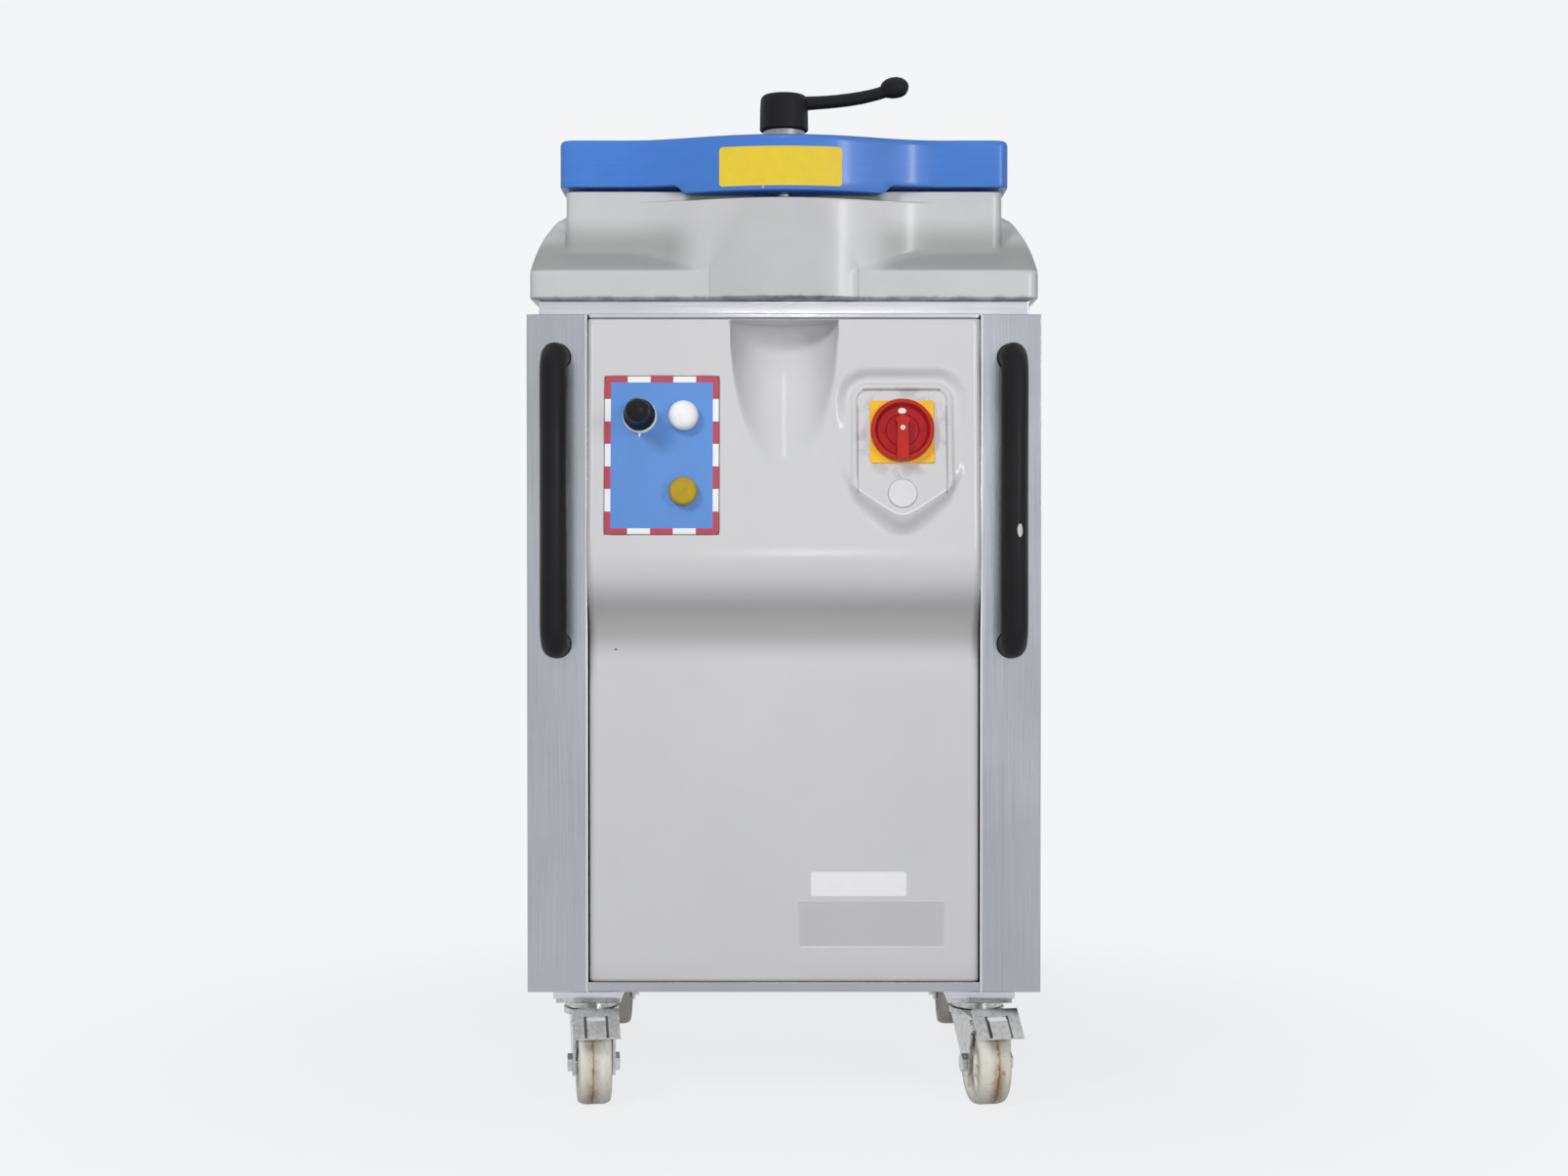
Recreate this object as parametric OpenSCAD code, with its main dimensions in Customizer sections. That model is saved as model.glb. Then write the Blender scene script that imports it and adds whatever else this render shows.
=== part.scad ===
// Hydraulic dough divider on four casters.
// A stand of folded posts and covers carries a cast pan housing with a hinged lid.
// Below the pan, a press and a knife grid rise on hydraulic cylinders.
// Millimetres, floor at z = 0, front towards -Y, origin midway between the casters.

/* [Stand] */
// Overall width across the posts
stand_w = 548; // [536:1:600]
// Depth from the front of the posts to the rear panel
stand_d = 580; // [572:1:640]
// Height of the posts
post_h = 723; // [715:1:780]
// Width of a front post
post_w = 65; // [60:1:70]
// Depth of the folds of a front post
post_d = 40; // [32:1:48]
// Sheet thickness of posts and covers
sheet_t = 2.5; // [1.5:0.5:3]
// Thickness of the floor of the base tray
tray_t = 3; // [2:0.5:5]
// Height of the rail under the front panel
rail_h = 11; // [8:1:16]

/* [Front panel] */
// Gap between the front panel and the posts
panel_gap = 1; // [0.5:0.5:2]
// Gap above the front panel
panel_top_gap = 6; // [3:1:10]
// Wall of the moulded panel
panel_wall = 4; // [3:0.5:5]
// Depth of the panel's sides behind the post fronts
panel_skirt = 28; // [20:1:32]
// How far the lower face stands in front of the posts
panel_low_proud = 2; // [1:0.5:4]
// How far the top edge stands in front of the posts
panel_top_proud = 14; // [10:1:18]
// Lean of the upper face
panel_lean = 5; // [3:0.5:7]
// Height of the lower face
panel_low_h = 351; // [320:1:370]
// Height of the S-curve between the two faces
panel_curve_h = 106; // [90:1:120]
// Radius of the scoop
scoop_size = 57; // [45:1:60]
// Tilt of the scoop against the upper face
scoop_tilt = 21; // [19:1:25]

/* [Controls] */
// Width of the control plate
plate_w = 120; // [112:1:124]
// Height of the control plate
plate_h = 167; // [155:1:170]
// Thickness of the control plate
plate_t = 2.5; // [2:0.5:4]
// Diameter of the white dome
dome_d = 32; // [28:1:36]
// Diameter of the yellow button
yellow_d = 30; // [26:1:34]
// Travel of the buttons
button_travel = 3.5; // [2:0.5:4]
// Diameter of the joystick's ball
ball_d = 26; // [22:1:30]
// Length of the joystick above its pivot
stick_len = 52; // [44:1:60]
// Side of the yellow switch plate
switch_side = 68; // [60:1:70]
// Diameter of the red switch knob
knob_d = 67; // [56:1:68]
// Diameter of the blanking plug
plug_d = 30; // [24:1:32]

/* [Handles] */
// Diameter of a handle's tube
handle_d = 28; // [22:1:30]
// Distance between the two feet of a handle
handle_span = 305; // [260:1:320]
// Distance of the tube's centre from the post
handle_reach = 45; // [40:1:55]
// Bend radius of the tube's centre line
handle_bend = 22; // [18:1:28]

/* [Deck and housing] */
// Thickness of the top deck
deck_t = 16; // [12:1:20]
// Step of the deck behind the post fronts
deck_step = 12; // [8:1:16]
// Step of the housing's foot inside the stand's sides
foot_in = 2; // [0:0.5:6]
// Height of the foot's upright edge
foot_h = 29.5; // [24:0.5:34]
// Width of the upper block beside the pan
block_side = 35; // [32:1:40]
// Height of the upper block above the deck
block_h = 118; // [112:1:124]
// Depth of the front slope between foot and block
slope_d = 25; // [20:1:28]
// Height of the front slope
slope_h = 27.5; // [22:0.5:34]
// How much less the bulge's radius is than half the block's width
bulge_in = 20; // [16:1:24]
// How far the bulge stands in front of the foot
bulge_proud = 15; // [12:1:18]
// Step from the block's top down to the bulge's top
bulge_drop = 11; // [9:1:13]
// Radius of the hollow fillet beside the bulge
bulge_fillet = 40; // [30:1:50]

/* [Lid] */
// Overhang of the lid past the block
lid_over = 6; // [4:1:8]
// Gap between block and lid
lid_gap = 4; // [3:0.5:6]
// Height of the lid
lid_h = 50.5; // [46:0.5:60]
// Drop of the lid's edge at the bulge
lid_drop = 9; // [7:0.5:9.5]
// Diameter of a hinge pin
hinge_pin_d = 16; // [12:1:18]
// Diameter of the clamping lever's hub
hub_d = 52; // [44:1:56]
// Height of the hub
hub_h = 39; // [32:1:44]
// Length of the lever's arm along its curve
arm_len = 101; // [80:1:110]
// Thickness of the arm
arm_d = 12; // [10:1:14]
// Diameter of the arm's end
tip_d = 24; // [20:1:26]

/* [Pan and press] */
// Least distance from the inside of the dough pan to the stand's sides
pan_side = 74; // [72:1:78]
// Half of what the pan's inside is less than the stand's depth
pan_ends = 90; // [88:1:94]
// Wall of the dough pan
pan_wall = 6; // [4:1:7]
// Depth of the pan above the press pads
pan_depth = 108; // [100:1:112]
// Pads across
pads_x = 4; // [3:1:5]
// Pads from front to rear
pads_y = 5; // [4:1:6]
// Thickness of a press pad
pad_thick = 18; // [14:1:22]
// Diameter of a press pillar
pillar_d = 16; // [12:1:18]
// Length of the press pillars
pillar_len = 250; // [246:1:256]
// Thickness of press table and crosshead
table_t = 20; // [16:1:20]

/* [Knives] */
// Thickness of a knife
knife_t = 2; // [1.5:0.5:2.5]
// Height of a knife
knife_h = 134; // [128:1:136]
// Diameter of a knife post
knife_post_d = 14; // [10:1:14]

/* [Hydraulics] */
// Bore of the press cylinder
press_bore = 63; // [50:1:70]
// Bore of a knife cylinder
knife_bore = 46; // [40:1:50]
// Wall of the cylinders
barrel_wall = 8; // [6:1:10]
// Diameter of the press rod
press_rod_d = 36; // [28:1:40]
// Diameter of a knife rod
knife_rod_d = 25; // [20:1:28]
// Diameter of a guide column
column_d = 25; // [20:1:28]
// Thickness of the bridge plate
bridge_t = 14; // [10:1:16]
// Diameter of the pump motor
motor_d = 116; // [100:1:120]

/* [Casters] */
// Height from the floor to the caster pads
caster_h = 115; // [110:1:125]
// Distance of the swivel axes inside the stand's sides
caster_in_x = 62; // [59:1:69]
// Distance of the swivel axes inside the stand's front and rear
caster_in_y = 75; // [70:1:80]
// Diameter of a wheel
wheel_d = 90; // [80:1:92]
// Width of a wheel
wheel_w = 36; // [30:1:40]
// Distance from swivel axis to axle
trail = 40; // [38:1:44]
// Diameter of an axle bolt
axle_d = 12; // [10:1:14]
// Turn of the front left caster at rest
left_yaw = 8; // [-180:1:180]
// Turn of the front right caster at rest
right_yaw = 10; // [-180:1:180]
// Thickness of the caster pads
pad_t = 12; // [8:1:16]
// Side of a caster pad
pad_w = 74; // [70:1:80]

/* [Hidden] */
$fn = 64;

// Overrun of every cut
over = 1;
// Radial play of a running fit
fit = 0.05;
// Play beside a moving or loose piece
loose = 0.5;
// Play that a stranger would see
clear = 2;

// Levels and faces of the stand
post_z = caster_h + pad_t;
deck_z = post_z + post_h;
house_z = deck_z + deck_t;
block_z = house_z + block_h;
front_y = -stand_d / 2;
rear_y = stand_d / 2;
side_x = stand_w / 2;
post_x = side_x - post_w;
flange_w = 30;
deck_w = stand_w - 2 * deck_step;
pan_in = min(stand_w - 2 * pan_side, stand_d - 2 * pan_ends);
caster_span_x = stand_w - 2 * caster_in_x;
caster_span_y = stand_d - 2 * caster_in_y;

// Front panel
panel_w = 2 * (post_x - panel_gap);
scoop_share = 0.145;
scoop_r = min(scoop_size, scoop_share * panel_w);
panel_z = post_z + rail_h;
panel_top = deck_z - panel_top_gap;
panel_low_y = front_y - panel_low_proud;
panel_top_y = front_y - panel_top_proud;
panel_back_y = front_y + panel_skirt;
curve_z = panel_z + panel_low_h;
upper_z = curve_z + panel_curve_h;
curve_steps = 14;
curve_out = panel_y(upper_z) - panel_low_y;
scoop_half = 2 * scoop_r / sin(scoop_tilt);
scoop_back_y = panel_top_y + 2 * scoop_r;
name_w = 155;
name_h = 47;
name_share = 0.2248;
name_x = name_share * panel_w;
name_up = 61.5;
name_deep = 0.8;

// Controls on the upper face
plate_share = 0.3095;
plate_x = -plate_share * panel_w;
plate_drop = 145;
plate_z = panel_top - plate_drop;
plate_sink = 1.5;
plate_play = 1;
control_dx = 23;
control_up = 41;
control_down = 39;
bezel_t = 2;
stem_r = 11;
stem_deep = 12;
push_r = 7;
push_short = 8;
stick_ring_r = 18;
stick_ring_h = 4;
stick_tube_r = 15;
stick_ball_r = 12;
stick_neck_r = 11;
stick_top_r = 9;
contact_w = 34;
contact_len = 36;
button_gap = button_travel + loose;
dome_h = 9;
button_skirt = 3;

// Podium of the main switch
podium_share = 0.2993;
podium_x = podium_share * panel_w;
podium_drop = 139;
podium_z = panel_top - podium_drop;
podium_tilt = 7;
podium_hw = 46.5;
podium_up = 65;
podium_side = 43;
podium_down = 77;
podium_tip = atan2(podium_down - podium_side, podium_hw);
valley_w = 23;
valley_low = 6;
valley_tip = 11;
rim_w = 7;
rim_h = 2;
film_t = 1;
switch_up = 19;
switch_plate_t = 2;
shaft_r = 5;
shaft_deep = 14;
knob_base = 6;
knob_rim_w = 5;
knob_rim_h = 5;
grip_w = 14;
grip_h = 16;
switch_body_w = 50;
switch_body_len = 55;
plug_down = 47.5;
plug_t = 1.5;
plug_stem_r = 11;

function ease(t) = t * t * (3 - 2 * t);
function panel_y(z) = panel_top_y - (panel_top - z) * tan(panel_lean);
function panel_edge(dy) = concat(
  [[panel_low_y + dy, panel_z]],
  [for (i = [0:curve_steps])
    [panel_low_y + dy + curve_out * ease(i / curve_steps), curve_z + panel_curve_h * i / curve_steps]],
  [[panel_top_y + dy, panel_top]]);
function podium_outline(m) = [
  [-podium_hw - m, podium_up + m], [podium_hw + m, podium_up + m], [podium_hw + m, -podium_side],
  [0, -podium_down - m / cos(podium_tip)], [-podium_hw - m, -podium_side]];
// Halves of the podium and of its valley, above and below the line where the podium meets the face
valley_mid = valley_low + (valley_w - valley_low) * (podium_side + valley_low)
  / (podium_side + valley_low + podium_up + valley_w);
function upper_half(top, side, mid) = [[-side, top], [side, top], [mid, 0], [-mid, 0]];
function lower_half(mid, side, shoulder, tip) =
  [[-mid, 0], [mid, 0], [side, -shoulder], [0, -tip], [-side, -shoulder]];

// A profile in Y and Z, drawn out along X about the middle
module along_x(len) {
  translate([-len / 2, 0, 0]) rotate([90, 0, 90]) linear_extrude(len) children();
}
// A profile in X and Z, drawn out from one Y to another
module along_y(y0, y1) {
  translate([0, y1, 0]) rotate([90, 0, 0]) linear_extrude(y1 - y0) children();
}
// Places that lie on the leaning upper face, with Z pointing outwards
module on_face(x, z, tilt) {
  translate([x, panel_y(z), z]) rotate([90 - panel_lean - tilt, 0, 0]) children();
}
module on_plate() { on_face(plate_x, plate_z, 0) children(); }
module on_podium() { on_face(podium_x, podium_z, podium_tilt) children(); }
module at_joystick() { translate([-control_dx, control_up, plate_t - plate_sink]) children(); }
module at_white() { translate([control_dx, control_up, plate_t - plate_sink]) children(); }
module at_yellow() { translate([control_dx, -control_down, plate_t - plate_sink]) children(); }
module both_sides() {
  children();
  mirror([1, 0, 0]) children();
}
module block(x0, x1, y0, y1, z0, z1) {
  translate([x0, y0, z0]) cube([x1 - x0, y1 - y0, z1 - z0]);
}

// One front post: a folded channel, open at the rear, with a closed top
module post_shape() {
  difference() {
    block(post_x, side_x, front_y, front_y + post_d, post_z, deck_z);
    block(post_x + sheet_t, side_x - sheet_t, front_y + sheet_t, front_y + post_d + over,
      post_z - over, deck_z - sheet_t);
  }
}
module left_front_post() { color("silver") mirror([1, 0, 0]) post_shape(); }
module right_front_post() { color("silver") post_shape(); }

module front_bottom_rail() {
  color("silver") along_x(2 * post_x) polygon([
    [front_y, post_z + sheet_t / 2], [front_y + sheet_t / 2, post_z],
    [front_y + post_d, post_z], [front_y + post_d, post_z + sheet_t],
    [front_y + sheet_t, post_z + sheet_t], [front_y + sheet_t, panel_z],
    [front_y, panel_z]]);
}

// A side cover with a fold at the top that carries the deck
module side_shape() {
  along_y(front_y + post_d, rear_y) polygon([
    [side_x, post_z], [side_x, deck_z], [side_x - flange_w, deck_z],
    [side_x - flange_w, deck_z - sheet_t], [side_x - sheet_t, deck_z - sheet_t],
    [side_x - sheet_t, post_z]]);
}
module left_side_panel() { color("silver") mirror([1, 0, 0]) side_shape(); }
module right_side_panel() { color("silver") side_shape(); }

louvre_n = 8;
louvre_w = 180;
louvre_h = 6;
louvre_pitch = 18;
louvre_up = 120;
gland_x = -170;
gland_up = 70;
gland_bore = 13;
gland_d = 24;
gland_len = 22;
gland_hex_share = 1.25;
gland_z = post_z + gland_up;
module rear_panel() {
  color("silver") difference() {
    union() {
      block(-side_x + sheet_t, side_x - sheet_t, rear_y - sheet_t, rear_y, post_z + tray_t,
        deck_z - sheet_t);
      block(-side_x + flange_w, side_x - flange_w, rear_y - flange_w, rear_y, deck_z - sheet_t, deck_z);
    }
    for (i = [0:louvre_n - 1])
      translate([-louvre_w / 2, rear_y - sheet_t - over, post_z + louvre_up + i * louvre_pitch])
        cube([louvre_w, sheet_t + 2 * over, louvre_h]);
    translate([gland_x, rear_y + over, gland_z]) rotate([90, 0, 0])
      cylinder(h = sheet_t + 2 * over, d = gland_d);
  }
}
module cable_gland() {
  color("dimgray") translate([gland_x, rear_y, gland_z]) rotate([-90, 0, 0]) difference() {
    union() {
      translate([0, 0, -2 * sheet_t]) cylinder(h = 2 * sheet_t, d = gland_d - loose);
      cylinder(h = gland_len / 2, d = gland_d * gland_hex_share, $fn = 6);
      cylinder(h = gland_len, d = gland_d);
    }
    translate([0, 0, -2 * sheet_t - over]) cylinder(h = gland_len + 2 * sheet_t + 2 * over, d = gland_bore);
  }
}

tray_lip = 25;
module base_tray() {
  color("gray") difference() {
    block(-side_x + sheet_t, side_x - sheet_t, front_y + post_d, rear_y, post_z, post_z + tray_t);
    for (i = [-1, 1]) block(i * flange_w - tray_lip / 2, i * flange_w + tray_lip / 2, -tray_lip / 2,
      tray_lip / 2, post_z - over, post_z + tray_t + over);
  }
}

pad_deep = 100;
module at_casters() {
  for (x = [-1, 1], y = [-1, 1]) translate([x * caster_span_x / 2, y * caster_span_y / 2, 0]) children();
}
module caster_pads() {
  color("silver") at_casters() translate([-pad_w / 2, -pad_deep / 2, caster_h])
    cube([pad_w, pad_deep, pad_t]);
}

// The moulded front panel
module scoop_form(r) {
  translate([0, panel_top_y, panel_top]) rotate([-panel_lean - scoop_tilt, 0, 0])
    cylinder(h = 2 * scoop_half, r = r, center = true);
}
module podium_upper(lift) {
  hull() {
    on_face(podium_x, podium_z, 0) translate([0, 0, lift]) linear_extrude(film_t)
      polygon(upper_half(podium_up + valley_w, podium_hw + valley_w, podium_hw + valley_mid));
    on_podium() translate([0, 0, lift]) linear_extrude(film_t)
      polygon(upper_half(podium_up, podium_hw, podium_hw));
  }
}
module podium_lower() {
  hull() {
    on_face(podium_x, podium_z, 0) translate([0, 0, -film_t]) linear_extrude(film_t) polygon(lower_half(
      podium_hw + valley_mid, podium_hw + valley_low, podium_side + valley_low, podium_down + valley_tip));
    on_podium() translate([0, 0, -film_t]) linear_extrude(film_t)
      polygon(lower_half(podium_hw, podium_hw, podium_side, podium_down));
  }
}
module panel_shell() {
  difference() {
    along_x(panel_w) polygon(concat(panel_edge(0), [[panel_back_y, panel_top], [panel_back_y, panel_z]]));
    intersection() {
      along_x(panel_w - 2 * panel_wall)
        polygon(concat(panel_edge(panel_wall), [[scoop_back_y, panel_top], [scoop_back_y, panel_z]]));
      block(-panel_w, panel_w, -stand_d, stand_d, panel_z + panel_wall, panel_top - panel_wall);
    }
  }
  intersection() {
    scoop_form(scoop_r + panel_wall);
    along_x(panel_w) polygon(concat(panel_edge(0), [[scoop_back_y, panel_top], [scoop_back_y, panel_z]]));
  }
  podium_upper(-panel_wall);
  podium_lower();
  on_podium() linear_extrude(rim_h) difference() {
    polygon(podium_outline(0));
    polygon(podium_outline(-rim_w));
  }
}
module front_panel() {
  color("lightgray") difference() {
    panel_shell();
    intersection() {
      scoop_form(scoop_r);
      block(-panel_w, panel_w, -stand_d, stand_d, panel_z, panel_top - panel_wall);
    }
    difference() {
      podium_upper(0);
      on_podium() linear_extrude(rim_h) difference() {
        polygon(podium_outline(0));
        polygon(podium_outline(-rim_w));
      }
    }
    on_plate() {
      translate([-plate_w / 2 - plate_play, -plate_h / 2 - plate_play, -plate_sink])
        cube([plate_w + 2 * plate_play, plate_h + 2 * plate_play, plate_sink + over]);
      at_joystick() drill(stick_tube_r + loose, 2 * stem_deep);
      at_white() drill(stem_r + loose, 2 * stem_deep);
      at_yellow() drill(stem_r + loose, 2 * stem_deep);
    }
    on_podium() {
      translate([0, switch_up, 0]) drill(shaft_r + loose, shaft_deep);
      translate([0, -plug_down, 0]) drill(plug_stem_r + loose, shaft_deep);
    }
    block(name_x - name_w / 2, name_x + name_w / 2, panel_low_y - over, panel_low_y + name_deep,
      panel_z + name_up - name_h / 2, panel_z + name_up + name_h / 2);
  }
}
module drill(r, deep) { translate([0, 0, -deep]) cylinder(h = 2 * deep, r = r); }

// Controls, drawn on the plate's own plane
ball_play = 0.4;
stick_pivot = 3;
yellow_h = 5;
function bezel_r(d) = d / 2 - plate_play;
module cap(r, h) {
  rs = (r * r + h * h) / (2 * h);
  intersection() {
    translate([0, 0, h - rs]) sphere(rs);
    cylinder(h = h + over, r = r + over);
  }
}
module control_plate() {
  color("cornflowerblue") on_plate() difference() {
    translate([-plate_w / 2, -plate_h / 2, -plate_sink]) cube([plate_w, plate_h, plate_t]);
    at_joystick() drill(stick_tube_r + loose, stem_deep);
    at_white() drill(stem_r + loose, stem_deep);
    at_yellow() drill(stem_r + loose, stem_deep);
  }
}
module bezel(r, h, tube_r, bore_r) {
  difference() {
    union() {
      cylinder(h = h, r = r);
      translate([0, 0, -stem_deep]) cylinder(h = stem_deep + h / 2, r = tube_r);
    }
    drill(bore_r, 2 * stem_deep);
  }
}
module control_bezels() {
  color("whitesmoke") on_plate() {
    at_joystick() bezel(stick_ring_r, stick_ring_h, stick_tube_r, stick_ball_r + ball_play);
    at_white() bezel(bezel_r(dome_d), bezel_t, stem_r, push_r + fit);
    at_yellow() bezel(bezel_r(yellow_d), bezel_t, stem_r, push_r + fit);
  }
}
module contact() {
  translate([-contact_w / 2, -contact_w / 2, -stem_deep - contact_len])
    cube([contact_w, contact_w, contact_len]);
}
module contact_blocks() {
  color("dimgray") on_plate() {
    at_joystick() contact();
    at_white() contact();
    at_yellow() contact();
  }
}
module button(d, h) {
  translate([0, 0, bezel_t + button_gap]) {
    cylinder(h = button_skirt, d = d);
    translate([0, 0, button_skirt]) cap(d / 2, h);
  }
  translate([0, 0, -push_short])
    cylinder(h = push_short + bezel_t + button_gap + button_skirt / 2, r = push_r);
}
module white_button() { color("white") on_plate() at_white() button(dome_d, dome_h); }
module yellow_button() { color("goldenrod") on_plate() at_yellow() button(yellow_d, yellow_h); }
module joystick() {
  color("black") on_plate() at_joystick() translate([0, 0, stick_pivot]) {
    sphere(stick_ball_r);
    cylinder(h = stick_len - ball_d / 2, r1 = stick_neck_r, r2 = stick_top_r);
    translate([0, 0, stick_len - ball_d / 2]) sphere(d = ball_d);
  }
}

// Main switch on the podium
switch_seat = 1;
module at_switch() { on_podium() translate([0, switch_up, 0]) children(); }
module switch_plate() {
  color("gold") at_switch() difference() {
    translate([-switch_side / 2, -switch_side / 2, 0]) cube([switch_side, switch_side, switch_plate_t]);
    drill(shaft_r + fit, shaft_deep);
  }
}
module switch_body() {
  front = panel_wall + switch_seat;
  color("dimgray") at_switch() difference() {
    translate([-switch_body_w / 2, -switch_body_w / 2, -front - switch_body_len])
      cube([switch_body_w, switch_body_w, switch_body_len]);
    translate([0, 0, -shaft_deep - loose]) cylinder(h = shaft_deep, r = shaft_r + fit);
  }
}
module switch_knob() {
  foot = switch_plate_t + loose;
  grip_len = knob_d - 2 * knob_rim_w - 2 * loose;
  color("firebrick") at_switch() {
    translate([0, 0, -shaft_deep]) cylinder(h = shaft_deep + foot + knob_base / 2, r = shaft_r);
    translate([0, 0, foot]) {
      cylinder(h = knob_base, d = knob_d);
      difference() {
        cylinder(h = knob_base + knob_rim_h, d = knob_d);
        cylinder(h = knob_base + knob_rim_h + over, d = knob_d - 2 * knob_rim_w);
      }
      translate([-grip_w / 2, -grip_len / 2, knob_base / 2]) cube([grip_w, grip_len, knob_base / 2 + grip_h]);
    }
  }
}
module blanking_plug() {
  color("lightgray") on_podium() translate([0, -plug_down, 0]) {
    cylinder(h = plug_t, d = plug_d);
    translate([0, 0, -panel_wall]) cylinder(h = panel_wall + plug_t / 2, r = plug_stem_r);
  }
}

// Tubular handles, bent into the posts at both ends
handle_drop = 198.5;
module handle_shape() {
  handle_z = deck_z - handle_drop;
  handle_y = front_y - handle_reach;
  translate([side_x - post_w / 2, 0, handle_z]) {
    translate([0, handle_y, 0]) cylinder(h = handle_span - 2 * handle_bend, d = handle_d, center = true);
    for (s = [-1, 1]) {
      translate([0, handle_y + handle_bend, s * (handle_span / 2 - handle_bend)]) rotate([90, 0, 90])
        rotate([0, 0, s > 0 ? 90 : 180])
          rotate_extrude(angle = 90) translate([handle_bend, 0]) circle(d = handle_d);
      translate([0, front_y, s * handle_span / 2]) rotate([90, 0, 0])
        cylinder(h = handle_reach - handle_bend, d = handle_d);
    }
  }
}
module handles() { color("black") both_sides() handle_shape(); }

// Deck, housing and pan
pan_y = -20;
house_wall = 45;
foot_w = stand_w - 2 * foot_in;
foot_x = foot_w / 2;
block_x = pan_in / 2 + block_side;
bulge_r = block_x - bulge_in;
foot_z = house_z + foot_h;
foot_chamfer = 4;
block_front = front_y + slope_d;
block_rear = pan_y + pan_in / 2 + house_wall;
bulge_y = front_y - bulge_proud + bulge_r;
bulge_z = block_z - bulge_drop;
cheek_h = 60.5;
cheek_z = foot_z + cheek_h;
cheek_lean = 10;
cheek_run = 65;
curve_n = 8;
bulge_n = 24;
pan_out = pan_in + 2 * pan_wall;
hinge_in = 85;
hinge_x = block_x - hinge_in;
hinge_back = 19;
ear_r = 18;
ear_t = 14;
ear_drop = 50;
knuckle_w = 40;
lid_z = block_z + lid_gap;
lid_top = lid_z + lid_h;
hinge_up = 24;
hinge_y = block_rear + lid_over + hinge_back;
hinge_z = lid_z + hinge_up;
lock_back = 20;
lock_y = front_y + lock_back;
keeper_w = 68;
keeper_deep = 56;
keeper_t = 8;
lock_shaft_r = 8;
claw_len = 44;
claw_w = 12;
claw_t = 12;
slot_w = 26;
claw_z = bulge_z - keeper_t - clear - claw_t;
module square_hole(side, z0, z1) {
  block(-side / 2, side / 2, pan_y - side / 2, pan_y + side / 2, z0, z1);
}
module top_deck() {
  color("silver") difference() {
    block(-deck_w / 2, deck_w / 2, front_y + deck_step, rear_y - deck_step, deck_z, house_z);
    square_hole(pan_in, deck_z - over, house_z + over);
  }
}
function bezier(a, b, c, t) = (1 - t) * (1 - t) * a + 2 * t * (1 - t) * b + t * t * c;
function bow(a, b, c) = [for (i = [0:curve_n]) bezier(a, b, c, i / curve_n)];
function mirrored(points) = [for (i = [len(points) - 1:-1:0]) [-points[i][0], points[i][1]]];
function arc(centre, r, a0, a1, n) =
  [for (i = [0:n]) centre + r * [cos(a0 + (a1 - a0) * i / n), sin(a0 + (a1 - a0) * i / n)]];

// Right half of the housing as seen from the front, from the floor up
cheek = concat([[foot_x - foot_chamfer, house_z], [foot_x, house_z + foot_chamfer]],
  bow([foot_x, foot_z], [foot_x - cheek_lean, cheek_z], [block_x, cheek_z]));
// Front edge of the foot as seen from the side
brow = concat([[front_y, house_z]],
  bow([front_y, foot_z], [front_y + slope_d - clear, foot_z + slope_h], [front_y + cheek_run, cheek_z]));
rear_foot = block_rear + slope_d;

// Plan of the block with its round bulge, grown by g on every side
function plan(g) =
  let (
    r = bulge_r + g,
    edge = block_front - g,
    f = bulge_fillet - g,
    fx = sqrt(pow(r + f, 2) - pow(edge - f - bulge_y, 2)),
    turn = atan2(edge - f - bulge_y, fx),
    side = arc([fx, edge - f], f, 90, 180 + turn, curve_n))
  concat(
    [[block_x + g, block_rear + g], [block_x + g, edge]], side,
    arc([0, bulge_y], r, turn, -180 - turn, bulge_n), mirrored(side),
    [[-block_x - g, edge], [-block_x - g, block_rear + g]]);

module ear_shape(r) {
  along_x(ear_t) difference() {
    union() {
      polygon([
        [block_rear - over, block_z - ear_drop], [block_rear - over, block_z - clear],
        [hinge_y - r, block_z - clear], [hinge_y - r, hinge_z], [hinge_y + r, hinge_z],
        [hinge_y + r, block_z - ear_drop / 2]]);
      translate([hinge_y, hinge_z]) circle(r);
    }
    translate([hinge_y, hinge_z]) circle(d = hinge_pin_d + 2 * fit);
  }
}
module at_ears() {
  for (s = [-1, 1], e = [-1, 1])
    translate([s * hinge_x + e * (knuckle_w / 2 + loose + ear_t / 2), 0, 0]) children();
}
module housing() {
  color("lightgray") difference() {
    union() {
      intersection() {
        along_y(front_y, rear_foot) polygon(concat(cheek, mirrored(cheek)));
        along_x(foot_w) polygon(concat(brow, [
          [rear_foot - slope_d, cheek_z], [rear_foot, foot_z], [rear_foot, house_z]]));
      }
      block(-block_x, block_x, block_front, block_rear, house_z, block_z);
      translate([0, 0, house_z]) linear_extrude(block_h - bulge_drop) polygon(plan(0));
      at_ears() ear_shape(ear_r);
    }
    square_hole(pan_out + 2 * loose, house_z - over, block_z + over);
    block(-keeper_w / 2, keeper_w / 2, lock_y - keeper_deep / 2, lock_y + keeper_deep / 2,
      bulge_z - keeper_t, block_z + over);
    translate([0, lock_y, claw_z - clear]) cylinder(h = bulge_z - claw_z, r = claw_len / 2 + clear);
  }
}
module dough_pan() {
  color("silver") difference() {
    square_hole(pan_out, house_z, block_z);
    square_hole(pan_in, house_z - over, block_z + over);
  }
}
module keeper_plate() {
  color("silver") difference() {
    block(-keeper_w / 2, keeper_w / 2, lock_y - keeper_deep / 2, lock_y + keeper_deep / 2,
      bulge_z - keeper_t, bulge_z);
    block(-claw_len / 2 - clear, claw_len / 2 + clear, lock_y - slot_w / 2, lock_y + slot_w / 2,
      bulge_z - keeper_t - over, bulge_z + over);
  }
}
pin_head = 3;
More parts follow.
